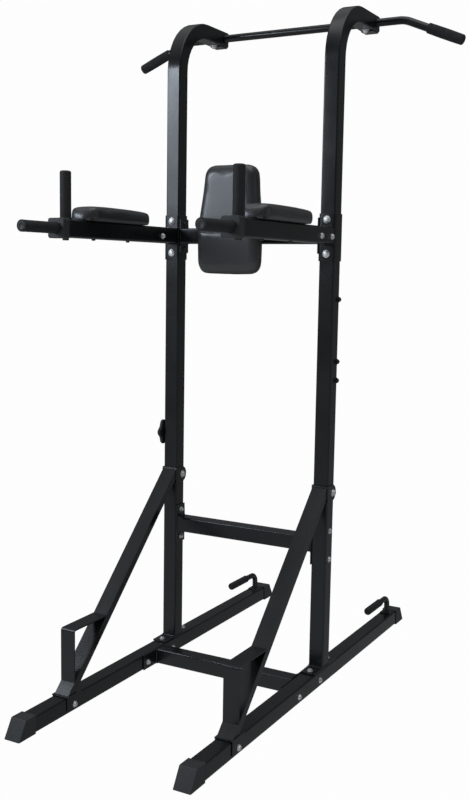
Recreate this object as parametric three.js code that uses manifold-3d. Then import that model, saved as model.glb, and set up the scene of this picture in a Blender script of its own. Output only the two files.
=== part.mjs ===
// Power tower: a free-standing frame for pull-ups, dips, leg raises and push-ups.
// Millimetres, +Z up. +X is the right-hand side of someone who stands in front and looks along +Y at the back pad.
// The origin is on the floor, at the middle of the base. The base's front end and the dip arms point along -Y.

import * as THREE from "three";
import { mergeVertices } from "three/addons/utils/BufferGeometryUtils.js";
import Module from "manifold-3d";

// ---------------------------------------------------------------- driving dimensions

const HEIGHT = 2134;
const BASE_LENGTH = 1565;
const UPRIGHT_X = 279;
const UPRIGHT_Y = 57.5;

const TUBE = 50;
const WALL = 2;
const TUBE_CORNER = 5;
const GAP = 0.3;
const PLATE = 4;

const LEG_BOTTOM = 2;
const LEG_TOP = LEG_BOTTOM + TUBE;
const LEG_MIDDLE = LEG_BOTTOM + TUBE / 2;

const SLEEVE_BOTTOM = 1349;
const SLEEVE_TOP = 1493;
const SLEEVE_WALL = 3;
const SLEEVE_OUTER = TUBE + 2 * (GAP + SLEEVE_WALL);
const UPRIGHT_SPLIT = 1421;

const ARM_Z = 1426;
const ARM_FRONT = -575.5;
const ARM_TOP = ARM_Z + TUBE / 2;

const BOLT_SHANK = 5;
const BOLT_HOLE = BOLT_SHANK + GAP;
const BOLT_SIDES = 12;
const ROUND_SIDES = 16;

const HANDLE_BAR = 12.5;
const HANDLE_GRIP = 16.5;

// faces of the frame that several sub-parts meet
const UPRIGHT_FRONT = UPRIGHT_Y - TUBE / 2;
const SLEEVE_FRONT = UPRIGHT_Y - SLEEVE_OUTER / 2;
const BASE_REAR = BASE_LENGTH / 2;

const SIDES = [["left", -1], ["right", 1]];

// ---------------------------------------------------------------- materials

function finish(color, roughness, metalness) {
  return () => new THREE.MeshStandardMaterial({ color, roughness, metalness });
}

const powderCoat = finish(0x17181a, 0.38, 0.3);
const zinc = finish(0xc9ccd0, 0.32, 0.9);
const capPlastic = finish(0x2b2c2f, 0.6, 0);
const knobPlastic = finish(0x141416, 0.45, 0);
const gripRubber = finish(0x1b1b1d, 0.8, 0);
const foam = finish(0x161617, 0.92, 0);
const vinyl = finish(0x1d1e22, 0.5, 0);
const board = finish(0x3a3025, 0.85, 0);

// ---------------------------------------------------------------- solids

const wasm = await Module();
wasm.setup();

function toSolid(geometry) {
  const bare = geometry.clone();
  bare.deleteAttribute("normal");
  bare.deleteAttribute("uv");
  const welded = mergeVertices(bare);
  return new wasm.Manifold(new wasm.Mesh({
    numProp: 3,
    vertProperties: new Float32Array(welded.attributes.position.array),
    triVerts: new Uint32Array(welded.index.array),
  }));
}

function toGeometry(solid) {
  const mesh = solid.getMesh();
  const geometry = new THREE.BufferGeometry();
  geometry.setAttribute("position", new THREE.BufferAttribute(new Float32Array(mesh.vertProperties), 3));
  geometry.setIndex(new THREE.BufferAttribute(new Uint32Array(mesh.triVerts), 1));
  geometry.computeVertexNormals();
  return geometry;
}

function join(first, ...others) {
  return toGeometry(others.reduce((solid, other) => solid.add(toSolid(other)), toSolid(first)));
}

function cut(first, ...tools) {
  return toGeometry(tools.reduce((solid, tool) => solid.subtract(toSolid(tool)), toSolid(first)));
}

// A shape is drawn in X and Y and extruded along Z. These turn the extrusion to run along X or Y.
function alongX(geometry) {
  return geometry.rotateY(Math.PI / 2);
}

function alongY(geometry) {
  return geometry.rotateX(-Math.PI / 2);
}

function roundedOutline(path, width, height, radius) {
  const x = width / 2;
  const y = height / 2;
  path.moveTo(-x + radius, -y);
  path.lineTo(x - radius, -y);
  path.absarc(x - radius, -y + radius, radius, -Math.PI / 2, 0);
  path.lineTo(x, y - radius);
  path.absarc(x - radius, y - radius, radius, 0, Math.PI / 2);
  path.lineTo(-x + radius, y);
  path.absarc(-x + radius, y - radius, radius, Math.PI / 2, Math.PI);
  path.lineTo(-x, -y + radius);
  path.absarc(-x + radius, -y + radius, radius, Math.PI, 1.5 * Math.PI);
  return path;
}

function tubeShape(width, height, wall, corner = TUBE_CORNER) {
  const shape = roundedOutline(new THREE.Shape(), width, height, corner);
  shape.holes.push(roundedOutline(new THREE.Path(), width - 2 * wall, height - 2 * wall, corner - wall));
  return shape;
}

function roundShape(radius, sides = ROUND_SIDES) {
  const corners = [];
  for (let i = 0; i < sides; i += 1) {
    const angle = (2 * Math.PI * i) / sides;
    corners.push(new THREE.Vector2(radius * Math.cos(angle), radius * Math.sin(angle)));
  }
  return new THREE.Shape(corners);
}

// An extrusion centred on the origin along its own length.
function extrude(shape, length, curveSegments = 2) {
  const geometry = new THREE.ExtrudeGeometry(shape, { depth: length, bevelEnabled: false, curveSegments });
  return geometry.translate(0, 0, -length / 2);
}

// An outline in the side view, given as [y, z] corners, made `width` wide and centred on X = 0.
function sidePlate(corners, width) {
  const shape = new THREE.Shape(corners.map(([y, z]) => new THREE.Vector2(-z, y)));
  return alongX(extrude(shape, width));
}

function box(width, depth, height, x = 0, y = 0, z = 0) {
  return new THREE.BoxGeometry(width, depth, height).translate(x, y, z);
}

function rod(radius, length, axis, x, y, z, sides = BOLT_SIDES) {
  const geometry = extrude(roundShape(radius, sides), length);
  if (axis === "x") alongX(geometry);
  if (axis === "y") alongY(geometry);
  return geometry.translate(x, y, z);
}

// A path through stations that are joined by straight steps, one extrusion step from each to the next.
class StationPath extends THREE.Curve {
  constructor(stations) {
    super();
    this.stations = stations;
  }

  getUtoTmapping(u) {
    return u;
  }

  getPoint(t, target = new THREE.Vector3()) {
    const place = t * (this.stations.length - 1);
    const index = Math.min(Math.floor(place), this.stations.length - 2);
    return target.lerpVectors(this.stations[index], this.stations[index + 1], place - index);
  }
}

// Stations along straight runs between corners, with each inner corner rounded to `radius`.
function bentPath(corners, radius, stepAngle = Math.PI / 20) {
  const stations = [corners[0]];
  for (let i = 1; i < corners.length - 1; i += 1) {
    const corner = corners[i];
    const into = corner.clone().sub(corners[i - 1]).normalize();
    const out = corners[i + 1].clone().sub(corner).normalize();
    const turn = into.angleTo(out);
    const setback = radius * Math.tan(turn / 2);
    const inward = out.clone().addScaledVector(into, -into.dot(out)).normalize();
    const start = corner.clone().addScaledVector(into, -setback);
    const steps = Math.max(2, Math.ceil(turn / stepAngle));
    for (let step = 0; step <= steps; step += 1) {
      const angle = (turn * step) / steps;
      stations.push(start.clone()
        .addScaledVector(into, radius * Math.sin(angle))
        .addScaledVector(inward, radius * (1 - Math.cos(angle))));
    }
  }
  stations.push(corners[corners.length - 1]);
  return new StationPath(stations);
}

function sweep(shape, path) {
  return new THREE.ExtrudeGeometry(shape, {
    extrudePath: path,
    steps: path.stations.length - 1,
    curveSegments: 2,
  });
}

// A turned piece from [radius, height] corners. The first and last corner lie on the axis.
function turned(corners, sides = BOLT_SIDES) {
  const geometry = new THREE.LatheGeometry(corners.map(([r, z]) => new THREE.Vector2(r, z)), sides);
  return geometry.rotateX(Math.PI / 2);
}

// ---------------------------------------------------------------- scene graph

const tower = new THREE.Group();

function add(name, geometry, material, x = 0, y = 0, z = 0, parent = tower) {
  const mesh = new THREE.Mesh(geometry, material());
  mesh.name = name;
  mesh.position.set(x, y, z);
  parent.add(mesh);
  return mesh;
}

// ---------------------------------------------------------------- fasteners

// A bolt whose head and washer rest on a face at height 0 of its own axis, its shank going down -Z.
function boltGeometry(shankLength) {
  const washer = [12, 2];
  const head = [8.5, 7];
  const dome = [5, 9];
  return turned([
    [0, -shankLength],
    [BOLT_SHANK, -shankLength],
    [BOLT_SHANK, GAP],
    [washer[0], GAP],
    [washer[0], GAP + washer[1]],
    [head[0], GAP + washer[1]],
    [head[0], GAP + head[1]],
    [dome[0], GAP + dome[1]],
    [0, GAP + dome[1]],
  ]);
}

// ---------------------------------------------------------------- base

const CAP_WALL = 2.2;
const CAP_SLOPE = 32;
const CAP_TOP = LEG_TOP + 3;
const CAP_LENGTH = 72;
const CAP_FACE = 3;
const LEG_END = BASE_REAR - CAP_SLOPE - CAP_FACE;
const LEG_BOLT_Z = LEG_MIDDLE - 3;
const CROSSMEMBER_Y = UPRIGHT_Y - 121;
const CROSSMEMBER_PLATE = 200;

function baseLegs() {
  for (const [side, sign] of SIDES) {
    const tube = alongY(extrude(tubeShape(TUBE, TUBE, WALL), 2 * LEG_END));
    const braceHole = rod(BOLT_HOLE, 2 * TUBE, "x", 0, BRACE_FOOT_Y, LEG_BOLT_Z - LEG_MIDDLE);
    add(`base_leg_${side}`, cut(tube, braceHole), powderCoat, sign * UPRIGHT_X, 0, LEG_MIDDLE);
  }
}

// A wedge cap: its outer face leans in towards the top, and it stands slightly below the leg.
function footCaps() {
  const outer = sidePlate([
    [BASE_REAR, 0],
    [BASE_REAR - CAP_SLOPE, CAP_TOP],
    [BASE_REAR - CAP_LENGTH - 5, CAP_TOP],
    [BASE_REAR - CAP_LENGTH, 0],
  ], TUBE + 2 * (GAP + CAP_WALL));
  const room = TUBE + 2 * GAP;
  const socket = box(room, CAP_LENGTH, room, 0, LEG_END + GAP - CAP_LENGTH / 2, LEG_MIDDLE);
  const cap = cut(outer, socket);
  for (const [side, sign] of SIDES) {
    add(`foot_cap_rear_${side}`, cap.clone(), capPlastic, sign * UPRIGHT_X);
    const front = cap.clone().rotateZ(Math.PI);
    add(`foot_cap_front_${side}`, front, capPlastic, sign * UPRIGHT_X);
  }
}

function baseCrossmember() {
  const plateX = UPRIGHT_X - TUBE / 2 - GAP - PLATE / 2;
  const tube = alongX(extrude(tubeShape(TUBE, TUBE, WALL), 2 * plateX));
  const plates = [-1, 1].map((sign) => box(PLATE, CROSSMEMBER_PLATE, TUBE, sign * plateX));
  const inside = TUBE - 2 * WALL;
  const drain = box(2 * UPRIGHT_X, inside / 2, inside / 2);
  add("base_crossmember", cut(join(tube, ...plates), drain), powderCoat, 0, CROSSMEMBER_Y, LEG_MIDDLE);
}

// ---------------------------------------------------------------- uprights

const FOOT_PLATE = 5;
const FOOT_PLATE_LENGTH = 170;
const GOOSENECK_RADIUS = 152;
const GOOSENECK_END = UPRIGHT_Y + 289;
const PULL_UP_Y = UPRIGHT_Y + 263;
const PULL_UP_Z = HEIGHT - TUBE / 2;
const BAR_BOLT_Y = UPRIGHT_Y + 232;
const SLEEVE_BOLT_Z = [1371, 1474];
const BRACE_BOLT_Y = UPRIGHT_Y + 8;
const BRACE_BOLT_Z = 624;
const KNOB_Z = 768;
const STUD = 4;

function lowerUprights() {
  const bottom = LEG_TOP + GAP;
  const top = UPRIGHT_SPLIT - GAP;
  const middle = (bottom + top) / 2;
  for (const [side, sign] of SIDES) {
    const tube = extrude(tubeShape(TUBE, TUBE, WALL), top - bottom).translate(0, 0, middle);
    const plate = box(TUBE, FOOT_PLATE_LENGTH, FOOT_PLATE, 0, 0, bottom + FOOT_PLATE / 2);
    const welded = [plate];
    const holes = [
      rod(BOLT_HOLE, 2 * TUBE, "y", 0, 0, SLEEVE_BOLT_Z[0]),
      rod(BOLT_HOLE, 2 * TUBE, "x", 0, BRACE_BOLT_Y - UPRIGHT_Y, BRACE_BOLT_Z),
    ];
    if (side === "left") {
      welded.push(rod(BOSS_RADIUS, BOSS_LENGTH + 1, "x", -(TUBE + BOSS_LENGTH - 1) / 2, 0, KNOB_Z, ROUND_SIDES));
      holes.push(rod(STUD + 2 * GAP, TUBE, "x", -TUBE / 2, 0, KNOB_Z));
    }
    const upright = cut(join(tube, ...welded), ...holes);
    add(`lower_upright_${side}`, upright, powderCoat, sign * UPRIGHT_X, UPRIGHT_Y, 0);
  }
}

function upperUprights() {
  const path = bentPath([
    new THREE.Vector3(0, 0, UPRIGHT_SPLIT),
    new THREE.Vector3(0, 0, PULL_UP_Z),
    new THREE.Vector3(0, GOOSENECK_END - UPRIGHT_Y, PULL_UP_Z),
  ], GOOSENECK_RADIUS, Math.PI / 20);
  for (const [side, sign] of SIDES) {
    const tube = sweep(tubeShape(TUBE, TUBE, WALL), path);
    const holes = [
      rod(BOLT_HOLE, 2 * TUBE, "y", 0, 0, SLEEVE_BOLT_Z[1]),
      rod(PULL_UP_BAR + 2 * GAP, 2 * TUBE, "x", 0, PULL_UP_Y - UPRIGHT_Y, PULL_UP_Z, ROUND_SIDES),
      rod(BOLT_HOLE, TUBE, "z", 0, BAR_BOLT_Y - UPRIGHT_Y, PULL_UP_Z - TUBE / 2),
    ];
    add(`upper_upright_${side}`, cut(tube, ...holes), powderCoat, sign * UPRIGHT_X, UPRIGHT_Y, 0);
  }
}

// ---------------------------------------------------------------- crossbars

const MID_CROSSBAR_Z = 455.5;
const MID_PLATE_HEIGHT = 130;
const BACK_PLATE_HEIGHT = 110;

// A tube between two upright faces, with an end plate at each end. The plates keep the tube's ends open.
function crossbar(name, halfSpan, z, plateHeight) {
  const plateX = halfSpan - GAP - PLATE / 2;
  const tube = alongX(extrude(tubeShape(TUBE, TUBE, WALL), 2 * plateX));
  const plates = [-1, 1].map((sign) => box(PLATE, TUBE, plateHeight, sign * plateX));
  const inside = TUBE / 2;
  const drain = box(2 * UPRIGHT_X, inside, inside);
  add(name, cut(join(tube, ...plates), drain), powderCoat, 0, UPRIGHT_Y, z);
}

// ---------------------------------------------------------------- braces and steps

const BRACE_DEPTH = 25;
const BRACE_RISE = 598.5;
const BRACE_FOOT_Y = -532.5;
const BRACKET_RADIUS = 26;
const CHEEK = 3;
const CHEEK_LENGTH = 68;
const CHEEK_BOTTOM = 12;
const STEP_TOP = 250;
const STEP_FRONT = -530;
const STEP_THICK = 5;
const STEP_BEND = 9;

// The brace climbs at 45 degrees, so on its centre line z = y + BRACE_RISE.
const BRACE_HALF = (BRACE_DEPTH / 2) * Math.SQRT2;

function braceCorners(inset, top, bottom) {
  const half = BRACE_HALF - inset * Math.SQRT2;
  const low = BRACE_RISE - half;
  const high = BRACE_RISE + half;
  return [[top, top + high], [top, top + low], [bottom - low, bottom], [bottom - high, bottom]];
}

// A strap that wraps the upright's front and both sides. Its cheeks end in a half circle round the cross bolt.
function braceBracket(front) {
  const rear = BRACE_BOLT_Y;
  const width = TUBE + 2 * (GAP + CHEEK);
  const plate = box(width, PLATE, 2 * BRACKET_RADIUS, 0, front - PLATE / 2, BRACE_BOLT_Z);
  const corners = [[front - PLATE, BRACE_BOLT_Z - BRACKET_RADIUS]];
  for (let i = 0; i <= ROUND_SIDES; i += 1) {
    const angle = Math.PI * (i / ROUND_SIDES - 0.5);
    corners.push([rear + BRACKET_RADIUS * Math.cos(angle), BRACE_BOLT_Z + BRACKET_RADIUS * Math.sin(angle)]);
  }
  corners.push([front - PLATE, BRACE_BOLT_Z + BRACKET_RADIUS]);
  const cheeks = [-1, 1].map((edge) => sidePlate(corners, CHEEK).translate(edge * (width - CHEEK) / 2, 0, 0));
  return [plate, ...cheeks];
}

function braces() {
  const top = UPRIGHT_FRONT - GAP;
  const foot = LEG_TOP + GAP;
  const footWidth = TUBE + 2 * (GAP + CHEEK);
  const cheekHeight = foot + PLATE - CHEEK_BOTTOM;
  for (const [side, sign] of SIDES) {
    const tube = sidePlate(braceCorners(0, top, foot), TUBE);
    const flange = box(footWidth, CHEEK_LENGTH + 6, PLATE, 0, BRACE_FOOT_Y, foot + PLATE / 2);
    const cheeks = [-1, 1].map((edge) => box(CHEEK, CHEEK_LENGTH, cheekHeight,
      edge * (footWidth - CHEEK) / 2, BRACE_FOOT_Y, CHEEK_BOTTOM + cheekHeight / 2));
    const hollow = sidePlate(braceCorners(WALL, top - PLATE, LEG_MIDDLE), TUBE - 2 * WALL);
    const holes = [
      rod(BOLT_HOLE, 2 * TUBE, "x", 0, BRACE_FOOT_Y, LEG_BOLT_Z),
      rod(BOLT_HOLE, 2 * TUBE, "x", 0, BRACE_BOLT_Y, BRACE_BOLT_Z),
    ];
    const brace = cut(join(tube, flange, ...cheeks, ...braceBracket(top)), hollow, ...holes);
    add(`brace_${side}`, brace, powderCoat, sign * UPRIGHT_X);
  }
}

function braceBolts() {
  const face = TUBE / 2 + GAP + CHEEK;
  const bolt = alongX(boltGeometry(2 * face + PLATE)).translate(face, 0, 0);
  for (const [side, sign] of SIDES) {
    add(`brace_top_bolt_${side}`, bolt.clone(), zinc, sign * UPRIGHT_X, BRACE_BOLT_Y, BRACE_BOLT_Z);
    add(`brace_foot_bolt_${side}`, bolt.clone(), zinc, sign * UPRIGHT_X, BRACE_FOOT_Y, LEG_BOLT_Z);
  }
}

// A flat bar bent once: its top is the tread, its front drops to the brace, and both ends meet the brace.
function footSteps() {
  const face = BRACE_RISE + BRACE_HALF + GAP * Math.SQRT2;
  const corners = [[STEP_TOP - face, STEP_TOP]];
  const bendSteps = 5;
  const centre = [STEP_FRONT + STEP_BEND, STEP_TOP - STEP_BEND];
  for (let i = 0; i <= bendSteps; i += 1) {
    const angle = Math.PI / 2 + (Math.PI / 2) * (i / bendSteps);
    corners.push([centre[0] + STEP_BEND * Math.cos(angle), centre[1] + STEP_BEND * Math.sin(angle)]);
  }
  corners.push([STEP_FRONT, STEP_FRONT + face]);
  corners.push([STEP_FRONT + STEP_THICK, STEP_FRONT + STEP_THICK + face]);
  const inner = STEP_BEND - STEP_THICK;
  for (let i = bendSteps; i >= 0; i -= 1) {
    const angle = Math.PI / 2 + (Math.PI / 2) * (i / bendSteps);
    corners.push([centre[0] + inner * Math.cos(angle), centre[1] + inner * Math.sin(angle)]);
  }
  corners.push([STEP_TOP - STEP_THICK - face, STEP_TOP - STEP_THICK]);
  for (const [side, sign] of SIDES) {
    add(`foot_step_${side}`, sidePlate(corners, TUBE), powderCoat, sign * UPRIGHT_X);
  }
}

// ---------------------------------------------------------------- push-up handles

const PUSH_UP_BAR = 10;
const PUSH_UP_GRIP = 13.5;
const PUSH_UP_Z = 112;
const PUSH_UP_REAR = UPRIGHT_Y + 617;
const PUSH_UP_FRONT = UPRIGHT_Y + 417;
const PUSH_UP_GRIP_LENGTH = 122;
const PUSH_UP_BEND = 30;

function gripGeometry(inner, outer, length, endWall) {
  const round = 3;
  return turned([
    [0, length - endWall],
    [inner, length - endWall],
    [inner, 0],
    [outer - round / 2, 0],
    [outer, round / 2],
    [outer, length - round],
    [outer - round, length],
    [0, length],
  ], ROUND_SIDES);
}

function pushUpHandles() {
  const endWall = 4;
  const foot = LEG_TOP + GAP;
  const path = bentPath([
    new THREE.Vector3(0, PUSH_UP_REAR, foot + PLATE / 2),
    new THREE.Vector3(0, PUSH_UP_REAR, PUSH_UP_Z),
    new THREE.Vector3(0, PUSH_UP_FRONT + endWall + GAP, PUSH_UP_Z),
  ], PUSH_UP_BEND, Math.PI / 14);
  for (const [side, sign] of SIDES) {
    const bar = sweep(roundShape(PUSH_UP_BAR, BOLT_SIDES), path);
    const plate = box(4 * PUSH_UP_BAR, 4 * PUSH_UP_BAR, PLATE, 0, PUSH_UP_REAR, foot + PLATE / 2);
    add(`push_up_handle_${side}`, join(bar, plate), powderCoat, sign * UPRIGHT_X);
    const grip = gripGeometry(PUSH_UP_BAR + GAP, PUSH_UP_GRIP, PUSH_UP_GRIP_LENGTH, endWall)
      .rotateX(Math.PI / 2)
      .translate(0, PUSH_UP_FRONT + PUSH_UP_GRIP_LENGTH, PUSH_UP_Z);
    add(`push_up_grip_${side}`, grip, gripRubber, sign * UPRIGHT_X);
  }
}

// ---------------------------------------------------------------- dip station

const STUB = TUBE - 2 * WALL - 2 * GAP;
const STUB_LENGTH = 130;
const ARM_CAP_FACE = 3;
const ARM_CAP_SKIRT = 24;
const ARM_CAP_WALL = 3;
const HANDLE_LENGTH = 146;
const HANDLE_INSIDE = 22;
const VERTICAL_Y = UPRIGHT_Y - 588.5;
const VERTICAL_TOP = 1587;
const PAD_Y = -315;
const PAD_LENGTH = 316;
const PAD_WIDTH = 92;
const PAD_HEIGHT = 45;
const PAD_BOARD = [78, 290, 9];

function jointSleeves() {
  const height = SLEEVE_TOP - SLEEVE_BOTTOM;
  const middle = (SLEEVE_TOP + SLEEVE_BOTTOM) / 2;
  const corner = TUBE_CORNER + SLEEVE_WALL;
  for (const [side, sign] of SIDES) {
    const wrap = extrude(tubeShape(SLEEVE_OUTER, SLEEVE_OUTER, SLEEVE_WALL, corner), height).translate(0, 0, middle);
    const stub = alongY(extrude(tubeShape(STUB, STUB, SLEEVE_WALL, TUBE_CORNER - WALL + 1), STUB_LENGTH))
      .translate(0, -(SLEEVE_OUTER + STUB_LENGTH) / 2 + 1, ARM_Z);
    const holes = SLEEVE_BOLT_Z.map((z) => rod(BOLT_HOLE, 2 * TUBE, "y", 0, 0, z));
    add(`joint_sleeve_${side}`, cut(join(wrap, stub), ...holes), powderCoat, sign * UPRIGHT_X, UPRIGHT_Y, 0);
    const bolt = boltGeometry(SLEEVE_OUTER + 2 * PLATE).rotateX(Math.PI / 2).translate(0, SLEEVE_FRONT, 0);
    add(`sleeve_bolt_low_${side}`, bolt, zinc, sign * UPRIGHT_X, 0, SLEEVE_BOLT_Z[0]);
    add(`sleeve_bolt_high_${side}`, bolt.clone(), zinc, sign * UPRIGHT_X, 0, SLEEVE_BOLT_Z[1]);
  }
}

function dipArms() {
  const front = ARM_FRONT + ARM_CAP_FACE + GAP;
  const rear = SLEEVE_FRONT - GAP;
  for (const [side, sign] of SIDES) {
    const tube = alongY(extrude(tubeShape(TUBE, TUBE, WALL), rear - front));
    add(`dip_arm_${side}`, tube, powderCoat, sign * UPRIGHT_X, (front + rear) / 2, ARM_Z);
  }
}

// A cap that wraps the arm's front end, with a round hole for the horizontal handle.
function armEndCaps() {
  const outer = TUBE + 2 * (GAP + ARM_CAP_WALL);
  const length = ARM_CAP_FACE + ARM_CAP_SKIRT;
  const room = TUBE + 2 * GAP;
  const shell = alongY(extrude(roundedOutline(new THREE.Shape(), outer, outer, TUBE_CORNER + 2), length));
  const socket = box(room, length, room, 0, ARM_CAP_FACE, 0);
  const cap = cut(shell, socket, rod(HANDLE_BAR + GAP, TUBE, "y", 0, -length / 2, 0, ROUND_SIDES));
  for (const [side, sign] of SIDES) {
    add(`arm_end_cap_${side}`, cap.clone(), capPlastic, sign * UPRIGHT_X, ARM_FRONT + length / 2, ARM_Z);
  }
}

function dipHandles() {
  for (const [side, sign] of SIDES) {
    const length = HANDLE_LENGTH + HANDLE_INSIDE;
    const bar = rod(HANDLE_BAR, length, "y", 0, ARM_FRONT - HANDLE_LENGTH + length / 2, 0, ROUND_SIDES);
    add(`dip_bar_${side}`, bar, zinc, sign * UPRIGHT_X, 0, ARM_Z);
    const gripLength = HANDLE_LENGTH - 2 * GAP;
    const shape = roundShape(HANDLE_GRIP);
    shape.holes.push(roundShape(HANDLE_BAR + GAP));
    const grip = alongY(extrude(shape, gripLength)).translate(0, ARM_FRONT - HANDLE_LENGTH / 2, 0);
    add(`dip_grip_${side}`, grip, gripRubber, sign * UPRIGHT_X, 0, ARM_Z);
  }
}

function verticalHandles() {
  const endWall = 4;
  const base = ARM_TOP + GAP;
  const length = VERTICAL_TOP - base;
  for (const [side, sign] of SIDES) {
    const barLength = length - endWall - GAP;
    const bar = rod(HANDLE_BAR, barLength, "z", 0, 0, base + barLength / 2, ROUND_SIDES);
    add(`vertical_bar_${side}`, bar, powderCoat, sign * UPRIGHT_X, VERTICAL_Y);
    const grip = gripGeometry(HANDLE_BAR + GAP, HANDLE_GRIP, length, endWall);
    add(`vertical_grip_${side}`, grip, gripRubber, sign * UPRIGHT_X, VERTICAL_Y, base);
  }
}

// A cushion that wraps its board: a block with eased edges and a pocket underneath for the board.
function armPads() {
  const ease = 9;
  const base = ARM_TOP + GAP;
  const outline = roundedOutline(new THREE.Shape(), PAD_WIDTH - 2 * ease, PAD_LENGTH - 2 * ease, 16);
  const crown = new THREE.ExtrudeGeometry(outline, {
    depth: PAD_HEIGHT - 2 * ease,
    bevelThickness: ease,
    bevelSize: ease,
    bevelSegments: 2,
    curveSegments: 3,
  }).translate(0, 0, ease);
  const pocket = box(PAD_BOARD[0] + 2 * GAP, PAD_BOARD[1] + 2 * GAP, 2 * (PAD_BOARD[2] + GAP));
  const pad = cut(crown, pocket);
  for (const [side, sign] of SIDES) {
    add(`arm_pad_${side}`, pad.clone(), vinyl, sign * UPRIGHT_X, PAD_Y, base);
    const plate = box(...PAD_BOARD, 0, 0, PAD_BOARD[2] / 2);
    add(`arm_pad_board_${side}`, plate, board, sign * UPRIGHT_X, PAD_Y, base);
  }
}

// ---------------------------------------------------------------- back pad

const BACK_PAD_BOTTOM = 1307;
const BACK_PAD_TOP = 1640;
const BACK_PAD_THICK = 52;
const BACK_PAD_FRONT = UPRIGHT_Y - 173;
const BACK_TILT = THREE.MathUtils.degToRad(3.5);
const BACK_BOARD_THICK = 12;
const BACK_BOARD_INSET = 14;
const BRACKET_TUBE = 40;
const BRACKET_PLATE = [90, 120];

// The pad's front view: widest below its middle, narrower at the top, with rounded corners.
function backPadShape(inset) {
  const half = (BACK_PAD_TOP - BACK_PAD_BOTTOM) / 2 - inset;
  const wide = 108 - inset;
  const narrow = 90 - inset;
  const corner = 34;
  const shape = new THREE.Shape();
  shape.moveTo(-wide + corner, -half);
  shape.lineTo(wide - corner, -half);
  shape.quadraticCurveTo(wide, -half, wide, -half + corner);
  shape.bezierCurveTo(wide, 0.15 * half, narrow + 6, 0.2 * half, narrow, half - corner);
  shape.quadraticCurveTo(narrow - 2, half, narrow - corner, half);
  shape.lineTo(-narrow + corner, half);
  shape.quadraticCurveTo(-narrow + 2, half, -narrow, half - corner);
  shape.bezierCurveTo(-narrow - 6, 0.2 * half, -wide, 0.15 * half, -wide, -half + corner);
  shape.quadraticCurveTo(-wide, -half, -wide + corner, -half);
  return shape;
}

// The pad and its board lean back together. Their group's origin is the middle of the pad's front at its foot.
function backPad() {
  const lean = new THREE.Group();
  lean.position.set(0, BACK_PAD_FRONT, BACK_PAD_BOTTOM);
  lean.rotation.x = -BACK_TILT;
  tower.add(lean);
  const rise = (BACK_PAD_TOP - BACK_PAD_BOTTOM) / 2;
  const ease = 12;
  const crown = new THREE.ExtrudeGeometry(backPadShape(ease), {
    depth: BACK_PAD_THICK - 2 * ease,
    bevelThickness: ease,
    bevelSize: ease,
    bevelSegments: 2,
    curveSegments: 4,
  }).translate(0, 0, ease).rotateX(Math.PI / 2).translate(0, BACK_PAD_THICK, 0);
  const pocket = new THREE.ExtrudeGeometry(backPadShape(BACK_BOARD_INSET - 2 * GAP), {
    depth: 2 * BACK_BOARD_THICK,
    bevelEnabled: false,
    curveSegments: 4,
  }).rotateX(Math.PI / 2).translate(0, BACK_PAD_THICK + BACK_BOARD_THICK - GAP, 0);
  add("back_pad", cut(crown, pocket), vinyl, 0, 0, rise, lean);
  const plate = new THREE.ExtrudeGeometry(backPadShape(BACK_BOARD_INSET), {
    depth: BACK_BOARD_THICK,
    bevelEnabled: false,
    curveSegments: 4,
  }).rotateX(Math.PI / 2).translate(0, BACK_PAD_THICK, 0);
  add("back_board", plate, board, 0, 0, rise, lean);
}

// A short tube that stands the back pad off the crossbar, with a plate at each end.
function backPadBracket() {
  const rear = UPRIGHT_FRONT - GAP;
  const rise = ARM_Z - BACK_PAD_BOTTOM;
  const padRear = BACK_PAD_THICK + GAP;
  const front = new THREE.Vector3(0, padRear + PLATE / 2, rise)
    .applyAxisAngle(new THREE.Vector3(1, 0, 0), -BACK_TILT)
    .add(new THREE.Vector3(0, BACK_PAD_FRONT, BACK_PAD_BOTTOM));
  const length = rear - front.y;
  const tube = alongY(extrude(tubeShape(BRACKET_TUBE, BRACKET_TUBE, WALL), length - PLATE / 2))
    .translate(0, (rear + front.y) / 2, ARM_Z);
  const frontPlate = box(BRACKET_PLATE[0], PLATE, BRACKET_PLATE[1])
    .rotateX(-BACK_TILT)
    .translate(front.x, front.y, front.z);
  const rearPlate = box(BRACKET_PLATE[0], PLATE, TUBE, 0, rear - PLATE / 2, ARM_Z);
  const drain = box(BRACKET_TUBE / 2, 2 * length, BRACKET_TUBE / 2, 0, rear, ARM_Z);
  add("back_pad_bracket", cut(join(tube, frontPlate, rearPlate), drain), powderCoat);
}

// ---------------------------------------------------------------- pull-up bar

const PULL_UP_BAR = 12.5;
const PULL_UP_GRIP = 17;
const PULL_UP_BEND_X = 400;
const PULL_UP_SLOPE = THREE.MathUtils.degToRad(22.5);
const PULL_UP_END_X = 592;
const PULL_UP_GRIP_LENGTH = 124;
const BAR_SADDLE = [42, 44, 3];

function pullUpBar() {
  const endWall = 5;
  const drop = (x) => PULL_UP_Z - (x - PULL_UP_BEND_X) * Math.tan(PULL_UP_SLOPE);
  const barEnd = PULL_UP_END_X - (endWall + GAP) * Math.cos(PULL_UP_SLOPE);
  const path = bentPath([
    new THREE.Vector3(-barEnd, 0, drop(barEnd)),
    new THREE.Vector3(-PULL_UP_BEND_X, 0, PULL_UP_Z),
    new THREE.Vector3(PULL_UP_BEND_X, 0, PULL_UP_Z),
    new THREE.Vector3(barEnd, 0, drop(barEnd)),
  ], 90, Math.PI / 30);
  add("pull_up_bar", sweep(roundShape(PULL_UP_BAR), path), powderCoat, 0, PULL_UP_Y);
  for (const [side, sign] of SIDES) {
    const grip = gripGeometry(PULL_UP_BAR + GAP, PULL_UP_GRIP, PULL_UP_GRIP_LENGTH, endWall)
      .translate(0, 0, -PULL_UP_GRIP_LENGTH)
      .rotateY(sign * (Math.PI / 2 + PULL_UP_SLOPE));
    add(`pull_up_grip_${side}`, grip, foam, sign * PULL_UP_END_X, PULL_UP_Y, drop(PULL_UP_END_X));
  }
}

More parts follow.
